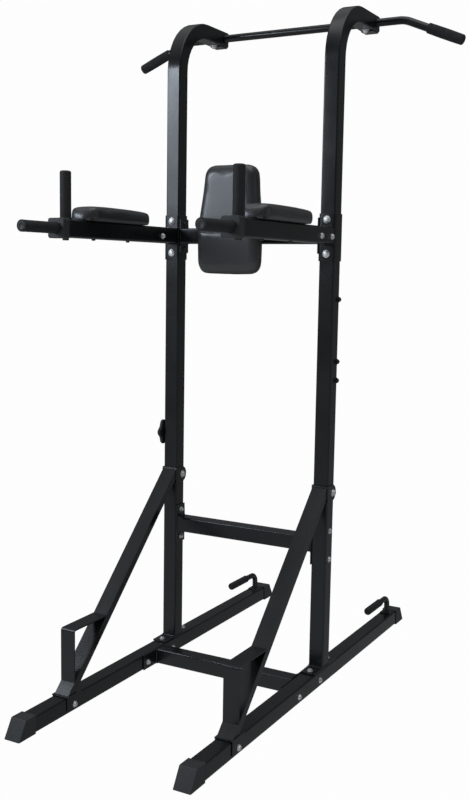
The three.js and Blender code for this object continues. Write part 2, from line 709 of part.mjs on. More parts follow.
// A plate under each gooseneck's end, below the pull-up bar, and the bolt in front of it that clamps the bar.
function barSaddles() {
  const face = HEIGHT - TUBE;
  const middle = GOOSENECK_END - BAR_SADDLE[1] / 2;
  for (const [side, sign] of SIDES) {
    const plate = box(...BAR_SADDLE, 0, middle, face - GAP - BAR_SADDLE[2] / 2);
    add(`bar_saddle_${side}`, plate, powderCoat, sign * UPRIGHT_X);
    const bolt = boltGeometry(4 * PLATE).rotateX(Math.PI);
    add(`bar_saddle_bolt_${side}`, bolt, zinc, sign * UPRIGHT_X, BAR_BOLT_Y, face);
  }
}

// ---------------------------------------------------------------- hand knob

const KNOB_LOBES = 6;
const KNOB_RADIUS = 42;
const KNOB_LOBE_DEPTH = 4;
const KNOB_THICK = 13;
const BOSS_RADIUS = 13;
const BOSS_LENGTH = 3;

function knobShape() {
  const steps = 8 * KNOB_LOBES;
  const corners = [];
  for (let i = 0; i < steps; i += 1) {
    const angle = (2 * Math.PI * i) / steps;
    const radius = KNOB_RADIUS + KNOB_LOBE_DEPTH * Math.cos(KNOB_LOBES * angle);
    corners.push(new THREE.Vector2(radius * Math.cos(angle), radius * Math.sin(angle)));
  }
  return new THREE.Shape(corners);
}

// The knob's stud turns in the boss that is welded to the left upright's outer face.
function handKnob() {
  const hub = 8;
  const knobInner = -UPRIGHT_X - TUBE / 2 - BOSS_LENGTH - 2 * GAP;
  const disc = alongX(extrude(knobShape(), KNOB_THICK)).translate(-KNOB_THICK / 2, 0, 0);
  const hubRod = rod(BOSS_RADIUS, KNOB_THICK + hub, "x", -(KNOB_THICK + hub) / 2, 0, 0, ROUND_SIDES);
  const studLength = BOSS_LENGTH + 18;
  const stud = rod(STUD, studLength, "x", studLength / 2 - 2, 0, 0);
  add("hand_knob", join(disc, hubRod, stud), knobPlastic, knobInner, UPRIGHT_Y, KNOB_Z);
}

// ---------------------------------------------------------------- assembly

baseLegs();
footCaps();
baseCrossmember();
lowerUprights();
upperUprights();
crossbar("mid_crossbar", UPRIGHT_X - TUBE / 2, MID_CROSSBAR_Z, MID_PLATE_HEIGHT);
crossbar("back_crossbar", UPRIGHT_X - SLEEVE_OUTER / 2, ARM_Z, BACK_PLATE_HEIGHT);
braces();
braceBolts();
footSteps();
pushUpHandles();
jointSleeves();
dipArms();
armEndCaps();
dipHandles();
verticalHandles();
armPads();
backPad();
backPadBracket();
pullUpBar();
barSaddles();
handKnob();

export default tower;
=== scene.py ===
"""Power tower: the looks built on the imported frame. Metres, +Z up, the dip arms point along -Y."""

import math

import bmesh
import bpy
from mathutils import Matrix, Vector, noise
from mathutils.bvhtree import BVHTree


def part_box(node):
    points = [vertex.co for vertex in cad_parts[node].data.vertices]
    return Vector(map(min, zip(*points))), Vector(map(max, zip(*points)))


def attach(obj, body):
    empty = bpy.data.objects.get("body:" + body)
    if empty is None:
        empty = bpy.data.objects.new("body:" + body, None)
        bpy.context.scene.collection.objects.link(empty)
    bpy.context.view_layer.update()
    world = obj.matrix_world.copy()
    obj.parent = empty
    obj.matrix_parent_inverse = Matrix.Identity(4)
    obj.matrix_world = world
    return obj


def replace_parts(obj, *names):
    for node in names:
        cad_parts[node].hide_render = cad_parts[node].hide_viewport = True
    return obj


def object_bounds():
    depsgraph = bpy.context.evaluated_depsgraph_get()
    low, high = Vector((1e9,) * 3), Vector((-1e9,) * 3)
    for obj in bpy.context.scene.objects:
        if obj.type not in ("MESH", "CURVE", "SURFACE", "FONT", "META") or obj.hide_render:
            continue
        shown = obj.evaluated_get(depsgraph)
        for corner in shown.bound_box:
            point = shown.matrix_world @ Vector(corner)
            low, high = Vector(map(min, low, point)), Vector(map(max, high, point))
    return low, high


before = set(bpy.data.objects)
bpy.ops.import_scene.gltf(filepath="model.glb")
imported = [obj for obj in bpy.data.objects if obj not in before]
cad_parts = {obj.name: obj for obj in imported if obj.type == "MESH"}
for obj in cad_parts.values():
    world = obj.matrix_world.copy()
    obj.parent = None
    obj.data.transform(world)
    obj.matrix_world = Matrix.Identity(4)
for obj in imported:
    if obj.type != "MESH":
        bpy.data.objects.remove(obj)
cad_low, cad_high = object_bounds()

# ---------------------------------------------------------------- driving dimensions

MM = 0.001
SIDES = (("left", -1), ("right", 1))
X_AXIS = Vector((1, 0, 0))
Y_AXIS = Vector((0, 1, 0))
Z_AXIS = Vector((0, 0, 1))

TUBE = 50 * MM
TUBE_CORNER = 5 * MM
PLATE = 4 * MM
BRACE_DEPTH = 25 * MM
BRACE_OFFSET = 598.5 * MM  # z minus y along a brace's middle line, which rises at 45 degrees
BRACKET_TUBE = 40 * MM
HANDLE_STEM = 11 * MM
HANDLE_STEM_INSET = 20 * MM
BACK_TILT = math.radians(3.5)
BAR_SLOPE = math.radians(22.5)

M10 = 10 * MM
M8 = 8 * MM
M6 = 6 * MM
HEX_SPIN = 0.7  # radians
ROUND_STEPS = 24
FINE_STEPS = 32

WELD_RADIUS = 2.2 * MM
WELD_STEP = 1.6 * MM

SMOOTH_LIMIT = math.radians(52)
MERGE_DISTANCE = 1e-5


# ---------------------------------------------------------------- places taken from the frame

def centre_of(node):
    low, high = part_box(node)
    return (low + high) / 2


UPRIGHT = centre_of("lower_upright_right")
UPRIGHT_X = UPRIGHT.x
UPRIGHT_Y = centre_of("mid_crossbar").y
UPRIGHT_FRONT = UPRIGHT_Y - TUBE / 2
UPRIGHT_REAR = UPRIGHT_Y + TUBE / 2
LEG_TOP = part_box("base_leg_right")[1].z
ARM_Z = centre_of("dip_arm_right").z
ARM_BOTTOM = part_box("dip_arm_right")[0].z
SLEEVE_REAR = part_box("joint_sleeve_right")[1].y
SLEEVE_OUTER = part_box("joint_sleeve_right")[1].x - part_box("joint_sleeve_right")[0].x


# ---------------------------------------------------------------- node helpers

def node(tree, kind, inputs=None, **settings):
    """A shader node with its settings, and its inputs set to values or linked to other nodes' outputs."""
    made = tree.nodes.new(kind)
    for key, value in settings.items():
        setattr(made, key, value)
    for socket, value in (inputs or {}).items():
        if isinstance(value, bpy.types.NodeSocket):
            tree.links.new(value, made.inputs[socket])
        else:
            made.inputs[socket].default_value = value
    return made


def grain(tree, scale, detail=3.0, stretch=(1, 1, 1)):
    """Noise in the object's own space, `scale` features to the metre."""
    place = node(tree, "ShaderNodeTexCoord").outputs["Object"]
    stretched = node(tree, "ShaderNodeMapping", {"Vector": place, "Scale": stretch}).outputs[0]
    inputs = {"Vector": stretched, "Scale": scale, "Detail": detail}
    return node(tree, "ShaderNodeTexNoise", inputs).outputs[0]


def cells(tree, scale, feature="DISTANCE_TO_EDGE"):
    place = node(tree, "ShaderNodeTexCoord").outputs["Object"]
    made = node(tree, "ShaderNodeTexVoronoi", {"Vector": place, "Scale": scale}, feature=feature)
    return made.outputs["Distance"]


def spread(tree, value, low, high, start=0.0, end=1.0):
    """Maps a value from low..high to start..end, clamped."""
    inputs = {"Value": value, "From Min": low, "From Max": high, "To Min": start, "To Max": end}
    return node(tree, "ShaderNodeMapRange", inputs).outputs["Result"]


def math_node(tree, operation, first, second):
    return node(tree, "ShaderNodeMath", {0: first, 1: second}, operation=operation).outputs[0]


def blend_colours(tree, factor, first, second):
    made = node(tree, "ShaderNodeMix", {0: factor, 6: first, 7: second}, data_type="RGBA")
    return made.outputs[2]


def bump(tree, height, distance, strength=1.0, below=None):
    inputs = {"Height": height, "Distance": distance, "Strength": strength}
    if below is not None:
        inputs["Normal"] = below
    return node(tree, "ShaderNodeBump", inputs).outputs["Normal"]


def edge_mask(tree, reach):
    """1 along sharp outer edges, fading to 0 within `reach` of them."""
    rounded = node(tree, "ShaderNodeBevel", {"Radius": reach}, samples=4).outputs["Normal"]
    plain = node(tree, "ShaderNodeNewGeometry").outputs["Normal"]
    agree = node(tree, "ShaderNodeVectorMath", {0: rounded, 1: plain}, operation="DOT_PRODUCT")
    return spread(tree, agree.outputs["Value"], 0.985, 0.8)


def grey(value, tint=0.0):
    """A neutral colour; a tint above 0 leans to blue."""
    return (value * (1 - tint), value, value * (1 + 2 * tint), 1)


def finish_material(name, colour, roughness, normal=None, **extra):
    """A principled material whose inputs are values or sockets. The functions below fill its tree first."""
    material = bpy.data.materials[name]
    tree = material.node_tree
    surface = tree.nodes["Principled BSDF"]
    inputs = {"Base Color": colour, "Roughness": roughness, **extra}
    if normal is not None:
        inputs["Normal"] = normal
    for socket, value in inputs.items():
        if isinstance(value, bpy.types.NodeSocket):
            tree.links.new(value, surface.inputs[socket])
        else:
            surface.inputs[socket].default_value = value
    return material


def new_tree(name):
    material = bpy.data.materials.new(name)
    material.use_nodes = True
    return material.node_tree


# ---------------------------------------------------------------- finishes

def powder_coat():
    """Semi-gloss black stoved paint on drawn tube: slow waves, orange peel, faint clouds, rubbed edges."""
    tree = new_tree("black_powder_coat")
    clouds = grain(tree, 9, 5)
    patches = spread(tree, grain(tree, 60, 6), 0.42, 0.68)
    edge_lightening = math_node(tree, "MULTIPLY", edge_mask(tree, 1.6 * MM), patches)
    body = blend_colours(tree, spread(tree, clouds, 0.3, 0.7), grey(0.0075, 0.05), grey(0.0125, 0.08))
    colour = blend_colours(tree, math_node(tree, "MULTIPLY", edge_lightening, 0.55), body, grey(0.10, 0.03))
    rubbed = math_node(tree, "MULTIPLY", edge_lightening, 0.16)
    roughness = math_node(tree, "ADD", spread(tree, clouds, 0.3, 0.7, 0.2, 0.28), rubbed)
    drawn = bump(tree, grain(tree, 16, 1, (1, 1, 0.35)), 3 * MM, 0.14)
    peel = bump(tree, grain(tree, 330, 2), 0.3 * MM, 0.035, drawn)
    fine = bump(tree, grain(tree, 1500, 2), 0.1 * MM, 0.05, peel)
    return finish_material("black_powder_coat", colour, roughness, fine, **{"Specular IOR Level": 0.5})


def bright_zinc():
    """Zinc plating: bright, slightly cloudy, with a faint warm cast in places."""
    tree = new_tree("bright_zinc")
    clouds = grain(tree, 220, 4)
    colour = blend_colours(tree, spread(tree, clouds, 0.35, 0.7), (0.92, 0.93, 0.95, 1), (0.82, 0.82, 0.8, 1))
    roughness = spread(tree, grain(tree, 700, 4), 0.3, 0.7, 0.36, 0.54)
    brushed = bump(tree, grain(tree, 1800, 2), 0.05 * MM, 0.3)
    return finish_material("bright_zinc", colour, roughness, brushed, Metallic=1.0)


def dark_zinc():
    """Blackened fastener steel, a little brown where the oil has dried."""
    tree = new_tree("black_oxide_steel")
    clouds = grain(tree, 260, 4)
    colour = blend_colours(tree, spread(tree, clouds, 0.35, 0.7), grey(0.05, 0.02), (0.085, 0.08, 0.075, 1))
    roughness = spread(tree, clouds, 0.3, 0.7, 0.32, 0.48)
    pitted = bump(tree, grain(tree, 1600, 3), 0.06 * MM, 0.35)
    return finish_material("black_oxide_steel", colour, roughness, pitted, Metallic=0.85)


def moulded_plastic(name, low, high, roughness_range):
    """Spark-eroded mould grain, a little lighter along its edges: partly scuffing, partly a painted edge
    highlight.
    """
    tree = new_tree(name)
    clouds = grain(tree, 35, 5)
    # painted edge highlight, partly scuffing: this mask lightens the plastic to 2.2 times its lighter tone
    # along its edges
    edge_lightening = math_node(tree, "MULTIPLY", edge_mask(tree, 2.8 * MM), 0.85)
    body = blend_colours(tree, spread(tree, clouds, 0.3, 0.7), grey(low, 0.03), grey(high, 0.03))
    colour = blend_colours(tree, edge_lightening, body, grey(high * 2.2, 0.03))
    roughness = spread(tree, clouds, 0.3, 0.7, *roughness_range)
    etched = bump(tree, grain(tree, 1300, 4), 0.16 * MM, 0.5)
    return finish_material(name, colour, roughness, etched)


def grip_rubber():
    """Matt rubber with a pebbled skin and a trace of bloom."""
    tree = new_tree("pebbled_rubber")
    bloom = grain(tree, 45, 5)
    colour = blend_colours(tree, spread(tree, bloom, 0.35, 0.75), grey(0.011, 0.05), grey(0.022, 0.05))
    roughness = spread(tree, bloom, 0.3, 0.7, 0.58, 0.74)
    pebbles = bump(tree, spread(tree, cells(tree, 620), 0.0, 0.12), 0.22 * MM, 0.55)
    return finish_material("pebbled_rubber", colour, roughness, pebbles)


def grip_foam():
    """Closed-cell foam: open pores of about a millimetre and a dull surface."""
    tree = new_tree("cell_foam")
    clouds = spread(tree, grain(tree, 70, 5), 0.3, 0.7)
    colour = blend_colours(tree, clouds, grey(0.013, 0.03), grey(0.024, 0.03))
    pores = spread(tree, cells(tree, 760, "F1"), 0.0, 0.55)
    pitted = bump(tree, pores, 0.4 * MM, 0.6)
    skin = bump(tree, grain(tree, 240, 4), 0.5 * MM, 0.35, pitted)
    return finish_material("cell_foam", colour, 0.86, skin)


def pad_vinyl():
    """Upholstery vinyl: leather cells whose creases are painted darker as shade, finer pores, and soft creases
    that catch the light.
    """
    tree = new_tree("grained_vinyl")
    clouds = grain(tree, 14, 5)
    crease = spread(tree, cells(tree, 430), 0.0, 0.1)
    body = blend_colours(tree, spread(tree, clouds, 0.3, 0.7), grey(0.012, 0.12), grey(0.02, 0.14))
    # painted shade: the grain's creases are darkened towards grey(0.006)
    colour = blend_colours(tree, math_node(tree, "SUBTRACT", 1.0, crease), body, grey(0.006))
    in_creases = spread(tree, crease, 0, 1, 0.12, 0)
    roughness = math_node(tree, "ADD", spread(tree, clouds, 0.3, 0.7, 0.36, 0.46), in_creases)
    cells_bump = bump(tree, crease, 0.22 * MM, 0.5)
    pores = bump(tree, grain(tree, 1500, 3), 0.1 * MM, 0.35, cells_bump)
    soft = bump(tree, grain(tree, 38, 3), 1.6 * MM, 0.25, pores)
    gloss = {"Specular IOR Level": 0.7, "Coat Weight": 0.7, "Coat Roughness": 0.24}
    return finish_material("grained_vinyl", colour, roughness, soft, **gloss)


def plywood():
    """Black stained plywood: long grain across the face and thin glued layers on the edges."""
    tree = new_tree("stained_plywood")
    streaks = grain(tree, 60, 6, (1, 9, 1))
    layers = spread(tree, grain(tree, 26, 2, (1, 1, 22)), 0.4, 0.6)
    stained = spread(tree, streaks, 0.3, 0.7)
    face = blend_colours(tree, stained, (0.016, 0.013, 0.011, 1), (0.034, 0.028, 0.023, 1))
    colour = blend_colours(tree, math_node(tree, "MULTIPLY", layers, 0.35), face, (0.01, 0.009, 0.008, 1))
    rough = bump(tree, streaks, 0.25 * MM, 0.5)
    return finish_material("stained_plywood", colour, 0.82, rough)


def sewing_thread():
    tree = new_tree("sewing_thread")
    twist = grain(tree, 2400, 2)
    colour = blend_colours(tree, twist, grey(0.03, 0.05), grey(0.06, 0.05))
    return finish_material("sewing_thread", colour, 0.7, bump(tree, twist, 0.1 * MM, 0.6))


COAT = powder_coat()
ZINC = bright_zinc()
DARK_ZINC = dark_zinc()
CAP = moulded_plastic("grained_cap_plastic", 0.028, 0.042, (0.44, 0.56))
KNOB = moulded_plastic("grained_knob_plastic", 0.011, 0.02, (0.34, 0.46))
RUBBER = grip_rubber()
FOAM = grip_foam()
VINYL = pad_vinyl()
PLYWOOD = plywood()
THREAD = sewing_thread()

FINISHES = {
    "powder_coat": COAT,
    "zinc": ZINC,
    "cap_plastic": CAP,
    "knob_plastic": KNOB,
    "grip_rubber": RUBBER,
    "grip_foam": FOAM,
    "pad_vinyl": VINYL,
    "pad_board": PLYWOOD,
}


# ---------------------------------------------------------------- mesh helpers

def add_rings(bm, rings, matrix=None, caps=True, closed=False):
    """Skins a run of rings that have equally many points. Flat caps close its two ends."""
    matrix = matrix or Matrix()
    made = [[bm.verts.new(matrix @ point) for point in ring] for ring in rings]
    pairs = list(zip(made, made[1:]))
    if closed:
        pairs.append((made[-1], made[0]))
    for first, second in pairs:
        for i in range(len(first)):
            bm.faces.new((first[i - 1], first[i], second[i], second[i - 1]))
    if caps and not closed:
        bm.faces.new(made[0][::-1])
        bm.faces.new(made[-1])


def ring_of(radius_at, height, steps):
    """A ring round Z; radius_at gives the radius at each angle."""
    angles = [2 * math.pi * i / steps for i in range(steps)]
    return [Vector((radius_at(a) * math.cos(a), radius_at(a) * math.sin(a), height)) for a in angles]


def turned(profile, steps=ROUND_STEPS):
    """Rings round Z from (radius, height) pairs."""
    return [ring_of(lambda angle, r=radius: r, height, steps) for radius, height in profile]


def hexagon(apothem, limit):
    """A hexagon's radius at an angle, cut off at `limit`, as a chamfered nut's face is."""
    def radius_at(angle):
        return min(limit, apothem / math.cos((angle + math.pi / 6) % (math.pi / 3) - math.pi / 6))
    return radius_at


def facing(place, direction, spin=0.0):
    """Stands Z along `direction` at `place`."""
    turn = direction.to_track_quat("Z", "Y").to_matrix().to_4x4()
    return Matrix.Translation(place) @ turn @ Matrix.Rotation(spin, 4, "Z")


def resample(points, step):
    """Points about `step` apart round a closed line of points."""
    line = list(points) + [points[0]]
    lengths = [(b - a).length for a, b in zip(line, line[1:])]
    count = max(3, round(sum(lengths) / step))
    spacing = sum(lengths) / count
    result = []
    travelled = 0.0
    for start, end, length in zip(line, line[1:], lengths):
        while len(result) * spacing < travelled + length - 1e-9:
            result.append(start.lerp(end, (len(result) * spacing - travelled) / length))
        travelled += length
    return result


def quarter_turn(steps):
    """Angles from 0 to 90 degrees in equal steps."""
    return [math.pi / 2 * i / steps for i in range(steps + 1)]


def rounded_loop(width, height, corner):
    """A rounded rectangle in X and Y."""
    points = []
    for quarter, (x, y) in enumerate(((1, 1), (-1, 1), (-1, -1), (1, -1))):
        middle = Vector((x * (width / 2 - corner), y * (height / 2 - corner), 0))
        for turn in quarter_turn(4):
            angle = turn + math.pi / 2 * quarter
            points.append(middle + corner * Vector((math.cos(angle), math.sin(angle), 0)))
    return points


def add_bead(bm, loop, radius, ripple=0.0, closed=True, steps=6):
    """A round bead along a line of points, every second ring fuller by `ripple`."""
    rings = []
    last = len(loop) - 1
    across = None
    for i, point in enumerate(loop):
        behind = loop[i - 1] if closed or i > 0 else point
        ahead = loop[(i + 1) % len(loop)] if closed or i < last else point
        along = (ahead - behind).normalized()
        across = along.orthogonal() if across is None else across - along * across.dot(along)
        across.normalize()
        other = along.cross(across)
        size = radius * (1 + ripple * (i % 2))
        angles = [2 * math.pi * k / steps for k in range(steps)]
        rings.append([point + size * (across * math.cos(a) + other * math.sin(a)) for a in angles])
    add_rings(bm, rings, closed=closed)


def piece(name, bm, finish, body="frame", smooth=SMOOTH_LIMIT):
    """Turns a bmesh into a piece that rides on a body, smooth where its faces meet at less than `smooth`."""
    bmesh.ops.remove_doubles(bm, verts=bm.verts, dist=1e-7)
    bmesh.ops.dissolve_degenerate(bm, edges=bm.edges, dist=1e-7)
    bmesh.ops.recalc_face_normals(bm, faces=bm.faces)
    for face in bm.faces:
        face.smooth = True
    for edge in bm.edges:
        edge.smooth = edge.calc_face_angle(0) < smooth
    mesh = bpy.data.meshes.new(name)
    bm.to_mesh(mesh)
    bm.free()
    mesh.materials.append(finish)
    obj = bpy.data.objects.new(name, mesh)
    bpy.context.scene.collection.objects.link(obj)
    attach(obj, body)
    return obj


def modifier(obj, kind, **settings):
    made = obj.modifiers.new(kind.lower(), kind)
    for key, value in settings.items():
        setattr(made, key, value)
    return made


# ---------------------------------------------------------------- carried-over frame nodes

def smoothing_group():
    """Geometry nodes that smooth every face and keep edges sharper than SMOOTH_LIMIT sharp."""
    group = bpy.data.node_groups.new("smooth_by_angle", "GeometryNodeTree")
    group.interface.new_socket("Geometry", in_out="INPUT", socket_type="NodeSocketGeometry")
    group.interface.new_socket("Geometry", in_out="OUTPUT", socket_type="NodeSocketGeometry")
    source = node(group, "NodeGroupInput").outputs[0]
    angle = node(group, "GeometryNodeInputMeshEdgeAngle").outputs["Unsigned Angle"]
    sharp = node(group, "FunctionNodeCompare", {0: angle, 1: SMOOTH_LIMIT}, operation="GREATER_THAN")
    faces = node(group, "GeometryNodeSetShadeSmooth", {"Geometry": source}, domain="FACE").outputs[0]
    inputs = {"Geometry": faces, "Selection": sharp.outputs[0], "Shade Smooth": False}
    edges = node(group, "GeometryNodeSetShadeSmooth", inputs, domain="EDGE").outputs[0]
    node(group, "NodeGroupOutput", {0: edges})
    return group


EDGE_ROUNDING = {"powder_coat": 0.9 * MM, "cap_plastic": 2 * MM, "zinc": 0.6 * MM, "pad_board": 0.8 * MM}


def dress_frame():
    """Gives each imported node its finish, merges its facets into clean faces and eases its edges."""
    smooth = smoothing_group()
    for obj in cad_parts.values():
        slot = obj.data.materials[0].name.split(".")[0]
        obj.data.materials[0] = FINISHES[slot]
        modifier(obj, "WELD", merge_threshold=MERGE_DISTANCE)
        modifier(obj, "DECIMATE", decimate_type="DISSOLVE", angle_limit=math.radians(0.4))
        modifier(obj, "BEVEL", width=EDGE_ROUNDING.get(slot, 0.6 * MM), segments=2, limit_method="ANGLE",
                 angle_limit=SMOOTH_LIMIT, use_clamp_overlap=False)
        modifier(obj, "NODES", node_group=smooth)
        modifier(obj, "WEIGHTED_NORMAL", keep_sharp=True)


# ---------------------------------------------------------------- fasteners

def thread_profile(diameter, start, length):
    """(radius, height) pairs of a screw thread's ridges, with a chamfered end."""
    pitch = 0.15 * diameter
    profile = []
    for i in range(int(length / pitch)):
        profile.append((0.5 * diameter, start + pitch * i))
        profile.append((0.44 * diameter, start + pitch * (i + 0.5)))
    profile.append((0.4 * diameter, start + length))
    return profile


def add_washer(bm, matrix, diameter):
    edge = 0.03 * diameter
    outer = 1.2 * diameter
    thick = 0.2 * diameter
    add_rings(bm, turned([
        (0.5 * diameter, 0),
        (outer - edge, 0),
        (outer, edge),
        (outer, thick - edge),
        (outer - edge, thick),
        (0.5 * diameter, thick),
    ]), matrix)


def add_hex(bm, matrix, diameter, base, height, chamfers):
    """A hexagon block from `base` up; `chamfers` says whether its foot and its top are turned off round."""
    apothem = 0.8 * diameter
    corner = apothem / math.cos(math.pi / 6)
    bite = 0.1 * diameter
    face = 0.96 * apothem
    full = hexagon(apothem, corner)
    cut = hexagon(apothem, face)
    rings = [ring_of(cut if chamfers[0] else full, base, ROUND_STEPS)]
    if chamfers[0]:
        rings.append(ring_of(full, base + bite, ROUND_STEPS))
    if chamfers[1]:
        rings.append(ring_of(full, base + height - bite, ROUND_STEPS))
    rings.append(ring_of(cut if chamfers[1] else full, base + height, ROUND_STEPS))
    add_rings(bm, rings, matrix)


def add_hex_bolt(bm, matrix, diameter):
    add_washer(bm, matrix, diameter)
    add_hex(bm, matrix, diameter, 0.2 * diameter, 0.62 * diameter, (False, True))


def add_dome_bolt(bm, matrix, diameter):
    """A smooth round head over a washer."""
    add_washer(bm, matrix, diameter)
    base = 0.2 * diameter
    head = [(0.92 * diameter * math.cos(a), base + 0.4 * diameter * math.sqrt(math.sin(a)))
            for a in (math.pi / 2 * (i / 8) ** 1.5 for i in range(8))]
    add_rings(bm, turned([(0.92 * diameter, base - 0.05 * diameter)] + head), matrix)


def add_nut(bm, matrix, diameter):
    """A washer, a nut and the end of the bolt that stands out of it."""
    add_washer(bm, matrix, diameter)
    add_hex(bm, matrix, diameter, 0.2 * diameter, 0.7 * diameter, (True, True))
    add_rings(bm, turned(thread_profile(diameter, 0.85 * diameter, 0.3 * diameter), 12), matrix)


def add_cap_nut(bm, matrix, diameter):
    """A hexagon with a round crown that covers the bolt's end."""
    add_washer(bm, matrix, diameter)
    base = 0.2 * diameter
    add_hex(bm, matrix, diameter, base, 0.5 * diameter, (True, True))
    crown = [(0.74 * diameter * math.cos(a), base + 0.48 * diameter + 0.55 * diameter * math.sin(a))
             for a in quarter_turn(7)[:-1]]
    add_rings(bm, turned(crown), matrix)


def bolt_row(name, maker, places, direction, diameter, finish=ZINC):
    """One piece: the same fastener at each place, all facing one way, each hexagon turned HEX_SPIN further."""
    bm = bmesh.new()
    for i, place in enumerate(places):
        maker(bm, facing(Vector(place), direction, HEX_SPIN * i), diameter)
    return piece(name, bm, finish)


def sleeve_bolts(side, x):
    levels = []
    for level in ("low", "high"):
        cad = f"sleeve_bolt_{level}_{side}"
        place = (x, SLEEVE_REAR - SLEEVE_OUTER, centre_of(cad).z)
        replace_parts(bolt_row(f"sleeve_bolt_{level}_detail_{side}", add_dome_bolt, [place], -Y_AXIS, M10), cad)
        levels.append(place[2])
    bolt_row(f"sleeve_nuts_{side}", add_nut, [(x, SLEEVE_REAR, z) for z in levels], Y_AXIS, M10)


def brace_bolts(side):
    low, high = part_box(f"brace_{side}")
    for end, diameter in (("top", M10), ("foot", M8)):
        cad = f"brace_{end}_bolt_{side}"
        spot = centre_of(cad)
        head_place = (high.x, spot.y, spot.z)
        nut_place = (low.x, spot.y, spot.z)
        head = bolt_row(f"brace_{end}_bolt_detail_{side}", add_hex_bolt, [head_place], X_AXIS, diameter)
        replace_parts(head, cad)
        bolt_row(f"brace_{end}_nut_{side}", add_nut, [nut_place], -X_AXIS, diameter)


def bar_clamp_bolt(side, x):
    cad = f"bar_saddle_bolt_{side}"
    place = (x, centre_of(cad).y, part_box(f"upper_upright_{side}")[1].z - TUBE)
    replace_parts(bolt_row(f"bar_saddle_bolt_detail_{side}", add_cap_nut, [place], -Z_AXIS, M10), cad)


def framed_bolts():
    """Detailed bolts in place of the frame's own, and the nuts on the far ends of the long ones."""
    for side, sign in SIDES:
        sleeve_bolts(side, sign * UPRIGHT_X)
        brace_bolts(side)
        bar_clamp_bolt(side, sign * UPRIGHT_X)


ARM_SIDE_BOLT_Y = (12.5 * MM, -63.5 * MM)
PAD_BOLT_Y = (-400 * MM, -224 * MM)
CROSSMEMBER_BOLT_REACH = 77 * MM
CROSSBAR_BOLT_RISE = 46 * MM
BACK_BOLT_RISE = 40 * MM
FOOT_BOLT_REACH = 66 * MM
FOOT_PLATE_TOP = LEG_TOP + 5.3 * MM
BRACKET_SEAT = PLATE + 3.6 * MM
STOP_NUT_Z = (980 * MM, 1039 * MM, 1232 * MM)
STOP_NUT_INSET = 8 * MM


def arm_bolts(side, x, outward):
    """Through the arm's rear end, up into the pad board, and up into the vertical handle."""
    outer = x + outward.x * TUBE / 2
    inner = x - outward.x * TUBE / 2
    z = ARM_Z - 4 * MM
    stem_y = centre_of("vertical_bar_right").y
    bolt_row(f"arm_side_bolts_{side}", add_hex_bolt, [(outer, y, z) for y in ARM_SIDE_BOLT_Y], outward, M8)
    bolt_row(f"arm_side_nut_{side}", add_cap_nut, [(inner, ARM_SIDE_BOLT_Y[1], z)], -outward, M8)
    under_pad = [(x, y, ARM_BOTTOM) for y in PAD_BOLT_Y]
    bolt_row(f"pad_bolts_{side}", add_hex_bolt, under_pad, -Z_AXIS, M6, DARK_ZINC)
    bolt_row(f"handle_bolt_{side}", add_hex_bolt, [(x, stem_y, ARM_BOTTOM)], -Z_AXIS, M10, DARK_ZINC)


def crossbar_bolts(side, x, outward):
    """Through the uprights into the mid crossbar's plates, and into the back crossbar's plates."""
    outer = x + outward.x * TUBE / 2
    bar_inner = outward.x * (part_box("mid_crossbar")[1].x - PLATE)
    back_inner = outward.x * (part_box("back_crossbar")[1].x - PLATE)
    bar_z = centre_of("mid_crossbar").z
    levels = (bar_z - CROSSBAR_BOLT_RISE, bar_z + CROSSBAR_BOLT_RISE)
    back_levels = (ARM_Z - BACK_BOLT_RISE, ARM_Z + BACK_BOLT_RISE)
    bolt_row(f"crossbar_bolts_{side}", add_hex_bolt, [(outer, UPRIGHT_Y, z) for z in levels], outward, M8)
    bolt_row(f"crossbar_nuts_{side}", add_nut, [(bar_inner, UPRIGHT_Y, z) for z in levels], -outward, M8)
    bolt_row(f"back_crossbar_bolts_{side}", add_dome_bolt,
             [(back_inner, UPRIGHT_Y, z) for z in back_levels], -outward, M6, DARK_ZINC)


def base_bolts(side, x, outward):
    """Through the legs into the crossmember's plates, and down through the uprights' foot plates."""
    outer = x + outward.x * TUBE / 2
    plate_inner = outward.x * (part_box("base_crossmember")[1].x - PLATE)
    middle = centre_of("base_crossmember").y
    ys = (middle - CROSSMEMBER_BOLT_REACH, middle + CROSSMEMBER_BOLT_REACH)
    z = centre_of("brace_foot_bolt_right").z
    feet = [(x, UPRIGHT_Y + reach, FOOT_PLATE_TOP) for reach in (-FOOT_BOLT_REACH, FOOT_BOLT_REACH)]
    bolt_row(f"crossmember_bolts_{side}", add_hex_bolt, [(outer, y, z) for y in ys], outward, M8)
    bolt_row(f"crossmember_nuts_{side}", add_nut, [(plate_inner, y, z) for y in ys], -outward, M8)
    bolt_row(f"foot_plate_bolts_{side}", add_hex_bolt, feet, Z_AXIS, M8)
    stops = [(outer, UPRIGHT_REAR - STOP_NUT_INSET, z) for z in STOP_NUT_Z]
    bolt_row(f"stop_nuts_{side}", add_nut, stops, outward, M8, DARK_ZINC)


def joint_bolts():
    """The smaller bolts and nuts of every other joint."""
    for side, sign in SIDES:
        for group in (arm_bolts, crossbar_bolts, base_bolts):
            group(side, sign * UPRIGHT_X, X_AXIS * sign)


def bracket_bolts():
    """Four bolts through the bracket's front plate into the back board, and two into the crossbar."""
    low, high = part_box("back_pad_bracket")
    tilt = Matrix.Rotation(-BACK_TILT, 4, "X")
    face = Vector((0, low.y + BRACKET_SEAT, ARM_Z))
    spots = [face + tilt @ Vector((x, 0, z)) for x in (-34 * MM, 34 * MM) for z in (-46 * MM, 46 * MM)]
    bolt_row("bracket_board_bolts", add_hex_bolt, spots, tilt @ Y_AXIS, M6)
    rear_spots = [(x, high.y - PLATE, ARM_Z) for x in (-33 * MM, 33 * MM)]
    bolt_row("bracket_crossbar_bolts", add_hex_bolt, rear_spots, -Y_AXIS, M8)


# ---------------------------------------------------------------- welds

def placed(points, matrix):
    return [matrix @ point for point in points]


